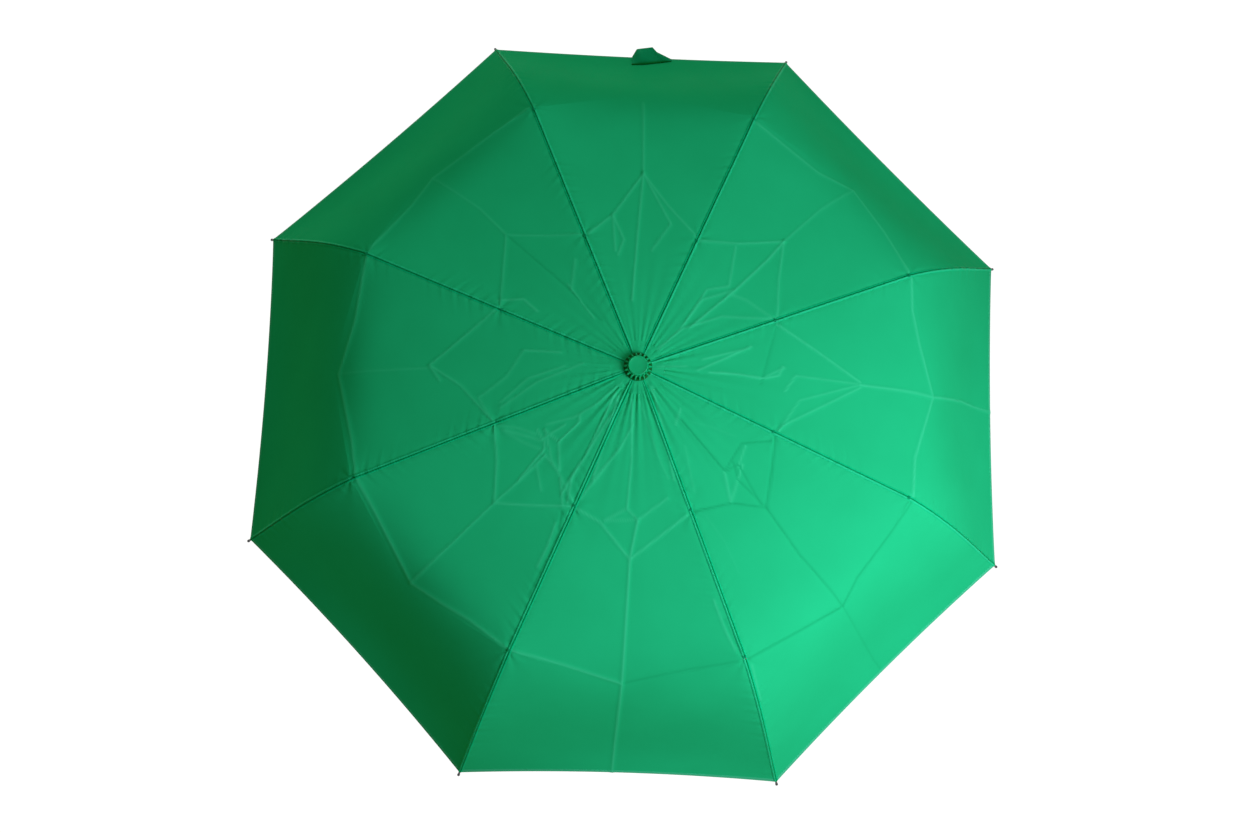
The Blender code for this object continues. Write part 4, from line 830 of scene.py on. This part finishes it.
# The tacks. At every knee and elbow the seam is tied down to the rib with three turns of thread,
# which pull a dimple into the cloth. One is modelled, half sunk in the seam, and copied.
THREAD_PITCH = 0.0009
TACK_LIFT = 0.0010
bpy.ops.object.select_all(action="DESELECT")
bpy.ops.mesh.primitive_torus_add(
    major_radius=0.0016, minor_radius=0.00025, major_segments=20, minor_segments=8,
    location=(-THREAD_PITCH, 0, 0), rotation=(0, math.pi / 2, 0))
tack = bpy.context.object
bpy.ops.object.transform_apply(location=True, rotation=True, scale=True)
bpy.ops.object.mode_set(mode="EDIT")
bpy.ops.mesh.select_all(action="SELECT")
bpy.ops.mesh.bisect(plane_co=(0, 0, -0.0006), plane_no=(0, 0, 1), clear_inner=True, use_fill=True)
bpy.ops.mesh.select_all(action="SELECT")
bpy.ops.transform.resize(value=(1, 1, 0.62), center_override=(0, 0, 0))
bpy.ops.mesh.normals_make_consistent(inside=False)
bpy.ops.object.mode_set(mode="OBJECT")
turns = tack.modifiers.new("turns", "ARRAY")
turns.count = 3
turns.use_relative_offset = False
turns.use_constant_offset = True
turns.constant_offset_displace = (THREAD_PITCH, 0, 0)
bpy.ops.object.modifier_apply(modifier="turns")
bpy.ops.object.shade_smooth_by_angle(angle=math.radians(50))
# Spun polyester thread, a little darker than the cloth; its two plies are drawn 0.4 mm apart
spun, shader = blank("spun_polyester_thread", 0.6)
where = add(spun, "ShaderNodeTexCoord")
twist = add(spun, "ShaderNodeTexNoise", {"Vector": where.outputs["Object"]}, {"Scale": 2400.0, "Detail": 2.0})
tone = add(spun, "ShaderNodeMix", {"Factor": twist.outputs["Fac"]},
           {6: linear("007f48"), 7: linear("10b478")}, data_type="RGBA")
bump = add(spun, "ShaderNodeBump", {"Height": twist.outputs["Fac"]}, {"Strength": 0.5, "Distance": 0.0001})
coat(shader, tone, bump=bump)
shader.inputs["IOR"].default_value = 1.1
tack.data.materials.append(spun)
for arm in range(ARMS):
    a = arm_angle(arm)
    for where_on, s, body in (("knee", 0.985, "top_arm"), ("elbow", 1.99, "middle_arm")):
        line = np.array([s, s - 0.02])
        spot, back = raised(taut(arm, 1, line, np.zeros(2)), arm, line, np.zeros(2))
        droop = math.atan2(back[2] - spot[2], np.hypot(*(spot - back)[:2]))
        knot = tack.copy()
        knot.data = tack.data.copy()
        knot.name = knot.data.name = f"tack_{where_on}_{arm + 1}"
        bpy.context.scene.collection.objects.link(knot)
        knot.data.transform(Matrix.Translation(spot + np.array((0, 0, TACK_LIFT)))
                            @ Matrix.Rotation(a, 4, "Z") @ Matrix.Rotation(droop, 4, "Y"))
        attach(knot, f"{body}_{arm + 1}")
bpy.data.objects.remove(tack)

# The tie strap. A doubled tab of the canopy's own cloth, sewn to the back gore just above the hem.
# It is folded over the edge and hangs under it, with a patch of hook tape on its end. Its seam and
# its turn go through five places each, seen from above in millimetres, and rise so far there.
STRAP_SEAM = ((-12.6, 424.4), (1.9, 425.8), (18.0, 430.2), (28.0, 433.0), (37.4, 435.8))
STRAP_TURN = ((-12.4, 439.5), (-6.6, 450.8), (13.0, 455.4), (18.6, 448.2), (38.2, 439.2))
STRAP_RISE = (0.4, 4.2, -1.0, 2.4, 0.3)
STRAP_WIDE, STRAP_LONG, STRAP_THICK = 0.052, 0.050, 0.0007
# Rows up to TURN_AT lie over the gore; then BEND_SHARE of the rest bends over the edge, and what
# is left hangs, pulled in towards the middle of the turn
TURN_AT, BEND_SHARE = 0.45, 0.25
SEWN_LIFT, TURN_LIFT = 0.0012, 0.0022
BEND_DROP, HANG_DROP, HANG_BACK = 0.0062, 0.0150, 0.0035
TURN_MIDDLE = np.array((0.010, 0.4400))
PULLED_IN = np.array((0.15, 0.33))
HEM_Y = 0.4395
strap_columns, strap_rows = 40, 30
v = np.linspace(0, 4, strap_columns + 1)
before = np.floor(np.minimum(v, 3.999))
eased = before + smooth(v - before)


def through(places, v):
    """Points of a line through five places, in metres: v is 0 at the first and 4 at the last."""
    return np.stack([np.interp(v, range(5), [p[i] / 1000 for p in places]) for i in (0, 1)], 1)


def flat_grid(long, wide, rows, columns):
    """Where the points of a grid lie on a flat cut of this size."""
    lines = np.meshgrid(np.linspace(0, long, rows + 1), np.linspace(0, wide, columns + 1), indexing="ij")
    return np.stack([line.ravel() for line in lines], 1)


def back_gore_height(x, y):
    """Height of the cloth of the back gore near its hem, under a place seen from above."""
    s = np.linspace(2.6, 3.0, 60)
    u = np.minimum(abs(x) / (TURN_MIDDLE[1] * math.sin(HALF_GORE)), 1)
    heights = []
    for one_y, one_u in zip(y, u):
        line = taut(1, 1, s, np.full(len(s), 1 - one_u))
        heights.append(np.interp(one_y, line[:, 1], line[:, 2]))
    return np.array(heights)


seam_line = through(STRAP_SEAM, v)
turn_line = 0.6 * through(STRAP_TURN, v) + 0.4 * through(STRAP_TURN, eased)
rise = np.interp(eased, range(5), STRAP_RISE) / 1000
sewn_z = back_gore_height(seam_line[:, 0], seam_line[:, 1]) + SEWN_LIFT
turn_z = back_gore_height(turn_line[:, 0], np.full(len(v), HEM_Y)) + TURN_LIFT
rows = []
for i in range(strap_rows + 1):
    t = i / strap_rows
    if t < TURN_AT:
        f = t / TURN_AT
        spot = seam_line * (1 - f) + turn_line * f
        z = sewn_z * (1 - f) + turn_z * f + rise * math.sin(math.pi * f * 0.9)
    else:
        f = (t - TURN_AT) / (1 - TURN_AT)
        bend = min(f / BEND_SHARE, 1.0)
        under = max(f - BEND_SHARE, 0) / (1 - BEND_SHARE)
        spot = turn_line + (TURN_MIDDLE - turn_line) * PULLED_IN * bend - (0.0, HANG_BACK * under)
        z = turn_z - BEND_DROP * math.sin(bend * math.pi / 2) - HANG_DROP * under
    rows.append(np.stack((spot[:, 0], spot[:, 1], z), 1))
points = np.concatenate(rows)
# Two layers of the canopy's polyester, its threads drawn as there and clouded every 9 mm, with a
# painted shadow along the sewn line, where the thread sinks in
tab, shader = blank("doubled_polyester_tab", 0.52)
flat_cut = add(tab, "ShaderNodeUVMap", uv_map="flat_cut")
weave = add(tab, "ShaderNodeTexWave", {"Vector": flat_cut.outputs[0]}, {"Scale": 523.0}, bands_direction="X")
where = add(tab, "ShaderNodeTexCoord")
cloud = add(tab, "ShaderNodeTexNoise", {"Vector": where.outputs["Object"]}, {"Scale": 110.0, "Detail": 3.0})
tone = add(tab, "ShaderNodeMix", {"Factor": cloud.outputs["Fac"]},
           {6: linear("0a9c62"), 7: linear("10b272")}, data_type="RGBA")
painted_shadow_line = add(tab, "ShaderNodeAttribute", attribute_name="painted_seam_shading")
shaded = add(tab, "ShaderNodeMix", {"Factor": painted_shadow_line.outputs["Fac"], 6: tone.outputs[2]},
             {7: linear("00701c")}, data_type="RGBA")
bump = add(tab, "ShaderNodeBump", {"Height": weave.outputs["Fac"]}, {"Strength": 0.25, "Distance": 0.0001})
coat(shader, shaded, bump=bump)
shader.inputs["IOR"].default_value = 1.06
# Painted shadow on the rows by the sewn line
painted_seam_shadow = np.exp(-(np.arange(strap_rows + 1) / 1.6) ** 2)
strap = sewn("folded_tie_strap", points, grid_faces(strap_rows, strap_columns, True),
             flat_grid(STRAP_LONG, STRAP_WIDE, strap_rows, strap_columns),
             {"painted_seam_shading": np.repeat(painted_seam_shadow, strap_columns + 1)}, STRAP_THICK, tab)
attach(strap, "tail_arm_2")
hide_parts("tie_strap")
pleat, anchor = gores["outer", 1, 1][4:]
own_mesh(strap)
# Hook tape: stiff nylon with rows of tiny hooks 1.2 mm apart, sewn flat on the strap's free end
TAPE_ROWS, TAPE_COLUMNS = slice(19, 29), slice(10, 27)
TAPE_LONG, TAPE_WIDE, TAPE_THICK, TAPE_PROUD = 0.012, 0.020, 0.0010, 0.0009
quads = points.reshape(strap_rows + 1, strap_columns + 1, 3)[TAPE_ROWS, TAPE_COLUMNS]
tape_rows, tape_columns = quads.shape[0] - 1, quads.shape[1] - 1
normal = np.cross(np.gradient(quads, axis=0), np.gradient(quads, axis=1))
normal /= np.linalg.norm(normal, axis=2)[..., None]
if normal[..., 1].mean() < 0:
    normal = -normal
hook_tape, shader = blank("nylon_hook_tape", 0.6)
where = add(hook_tape, "ShaderNodeUVMap", uv_map="flat_cut")
hooks = add(hook_tape, "ShaderNodeTexVoronoi", {"Vector": where.outputs[0]},
            {"Scale": 830.0, "Randomness": 0.25})
tone = add(hook_tape, "ShaderNodeMix", {"Factor": hooks.outputs["Distance"]},
           {6: linear("0f8a55"), 7: linear("06482c")}, data_type="RGBA")
bump = add(hook_tape, "ShaderNodeBump", {"Height": hooks.outputs["Distance"]},
           {"Strength": 0.8, "Distance": 0.0004})
coat(shader, tone, bump=bump)
patch = sewn("hook_tape_patch", (quads + TAPE_PROUD * normal).reshape(-1, 3),
             grid_faces(tape_rows, tape_columns, True),
             flat_grid(TAPE_LONG, TAPE_WIDE, tape_rows, tape_columns), {}, TAPE_THICK, hook_tape)
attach(patch, "tail_arm_2")
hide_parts("strap_fastener")
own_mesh(patch)

# Cap and button of the crown: a fluted collar and a round button, both injection moulded in
# glossy ABS, dyed to match the cloth and screwed on the end of the shaft over the gathered gores.
FLUTES = 18
CAP_LEVEL = 555.7
cap = turned("fluted_crown_collar", FLUTES * 10, [
    (r, CAP_LEVEL + h) for r, h in (
        (0.5, 0.0), (14.6, 0.0), (15.1, 0.3), (15.3, 0.8), (15.3, 2.8), (15.0, 4.0), (14.4, 5.0), (13.6, 5.7),
        (12.8, 6.1), (12.0, 6.2), (10.9, 5.3), (0.5, 5.3))],
    flutes=((FLUTES, 0.77, -0.01, 0.25), (FLUTES, 0.90, 0.25, 0.35)))
# Moulded ABS: glossy, its colour a shade deeper than the cloth's, with flow shading 11 mm wide and
# the finest scuffs, drawn 0.6 mm wide to show
gloss, shader = blank("glossy_green_abs", 0.2)
where = add(gloss, "ShaderNodeTexCoord")
flow = add(gloss, "ShaderNodeTexNoise", {"Vector": where.outputs["Object"]}, {"Scale": 90.0, "Detail": 2.0})
scuff = add(gloss, "ShaderNodeTexNoise", {"Vector": where.outputs["Object"]},
            {"Scale": 1800.0, "Detail": 4.0})
tone = add(gloss, "ShaderNodeMix", {"Factor": flow.outputs["Fac"]},
           {6: linear("00a862"), 7: linear("0cba70")}, data_type="RGBA")
dull = add(gloss, "ShaderNodeMapRange", {"Value": scuff.outputs["Fac"]}, {"To Min": 0.12, "To Max": 0.30})
bump = add(gloss, "ShaderNodeBump", {"Height": scuff.outputs["Fac"]}, {"Strength": 0.06, "Distance": 0.0001})
coat(shader, tone, dull, bump)
shader.inputs["Specular IOR Level"].default_value = 0.12
cap.data.materials.append(gloss)
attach(cap, "upper_shaft")
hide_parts("crown_cap")

# A dark ring under the collar, seen through the flutes' gaps as painted shade
washer = turned("crown_washer_painted_shade", 96, [
    (r, CAP_LEVEL + h) for r, h in ((9.0, -0.05), (15.2, -0.05), (15.5, 0.2), (15.5, 0.6), (15.2, 0.8),
                                    (9.0, 0.8), (9.0, -0.05))])
# Soft PVC, slightly greasy, clouded every 2 mm, pinched flat under the collar; its dark green is painted
# shade for the narrow gaps between the flutes
pvc, shader = blank("pvc_painted_shade", 0.45)
where = add(pvc, "ShaderNodeTexCoord")
cloud = add(pvc, "ShaderNodeTexNoise", {"Vector": where.outputs["Object"]}, {"Scale": 500.0, "Detail": 3.0})
tone = add(pvc, "ShaderNodeMix", {"Factor": cloud.outputs["Fac"]},
           {6: linear("005a20"), 7: linear("00702a")}, data_type="RGBA")
coat(shader, tone)
shader.inputs["Specular IOR Level"].default_value = 0.08
washer.data.materials.append(pvc)
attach(washer, "upper_shaft")

button = turned("crown_button", 96, [
    (0.4, 561.4), (10.4, 561.4), (10.8, 561.8), (10.8, 564.0), (10.6, 564.6), (10.2, 564.95), (9.7, 565.0),
    (9.3, 564.85), (8.6, 564.6), (4.0, 564.45), (0.4, 564.45)])
button.data.materials.append(gloss)
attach(button, "upper_shaft")
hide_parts("cap_disc")
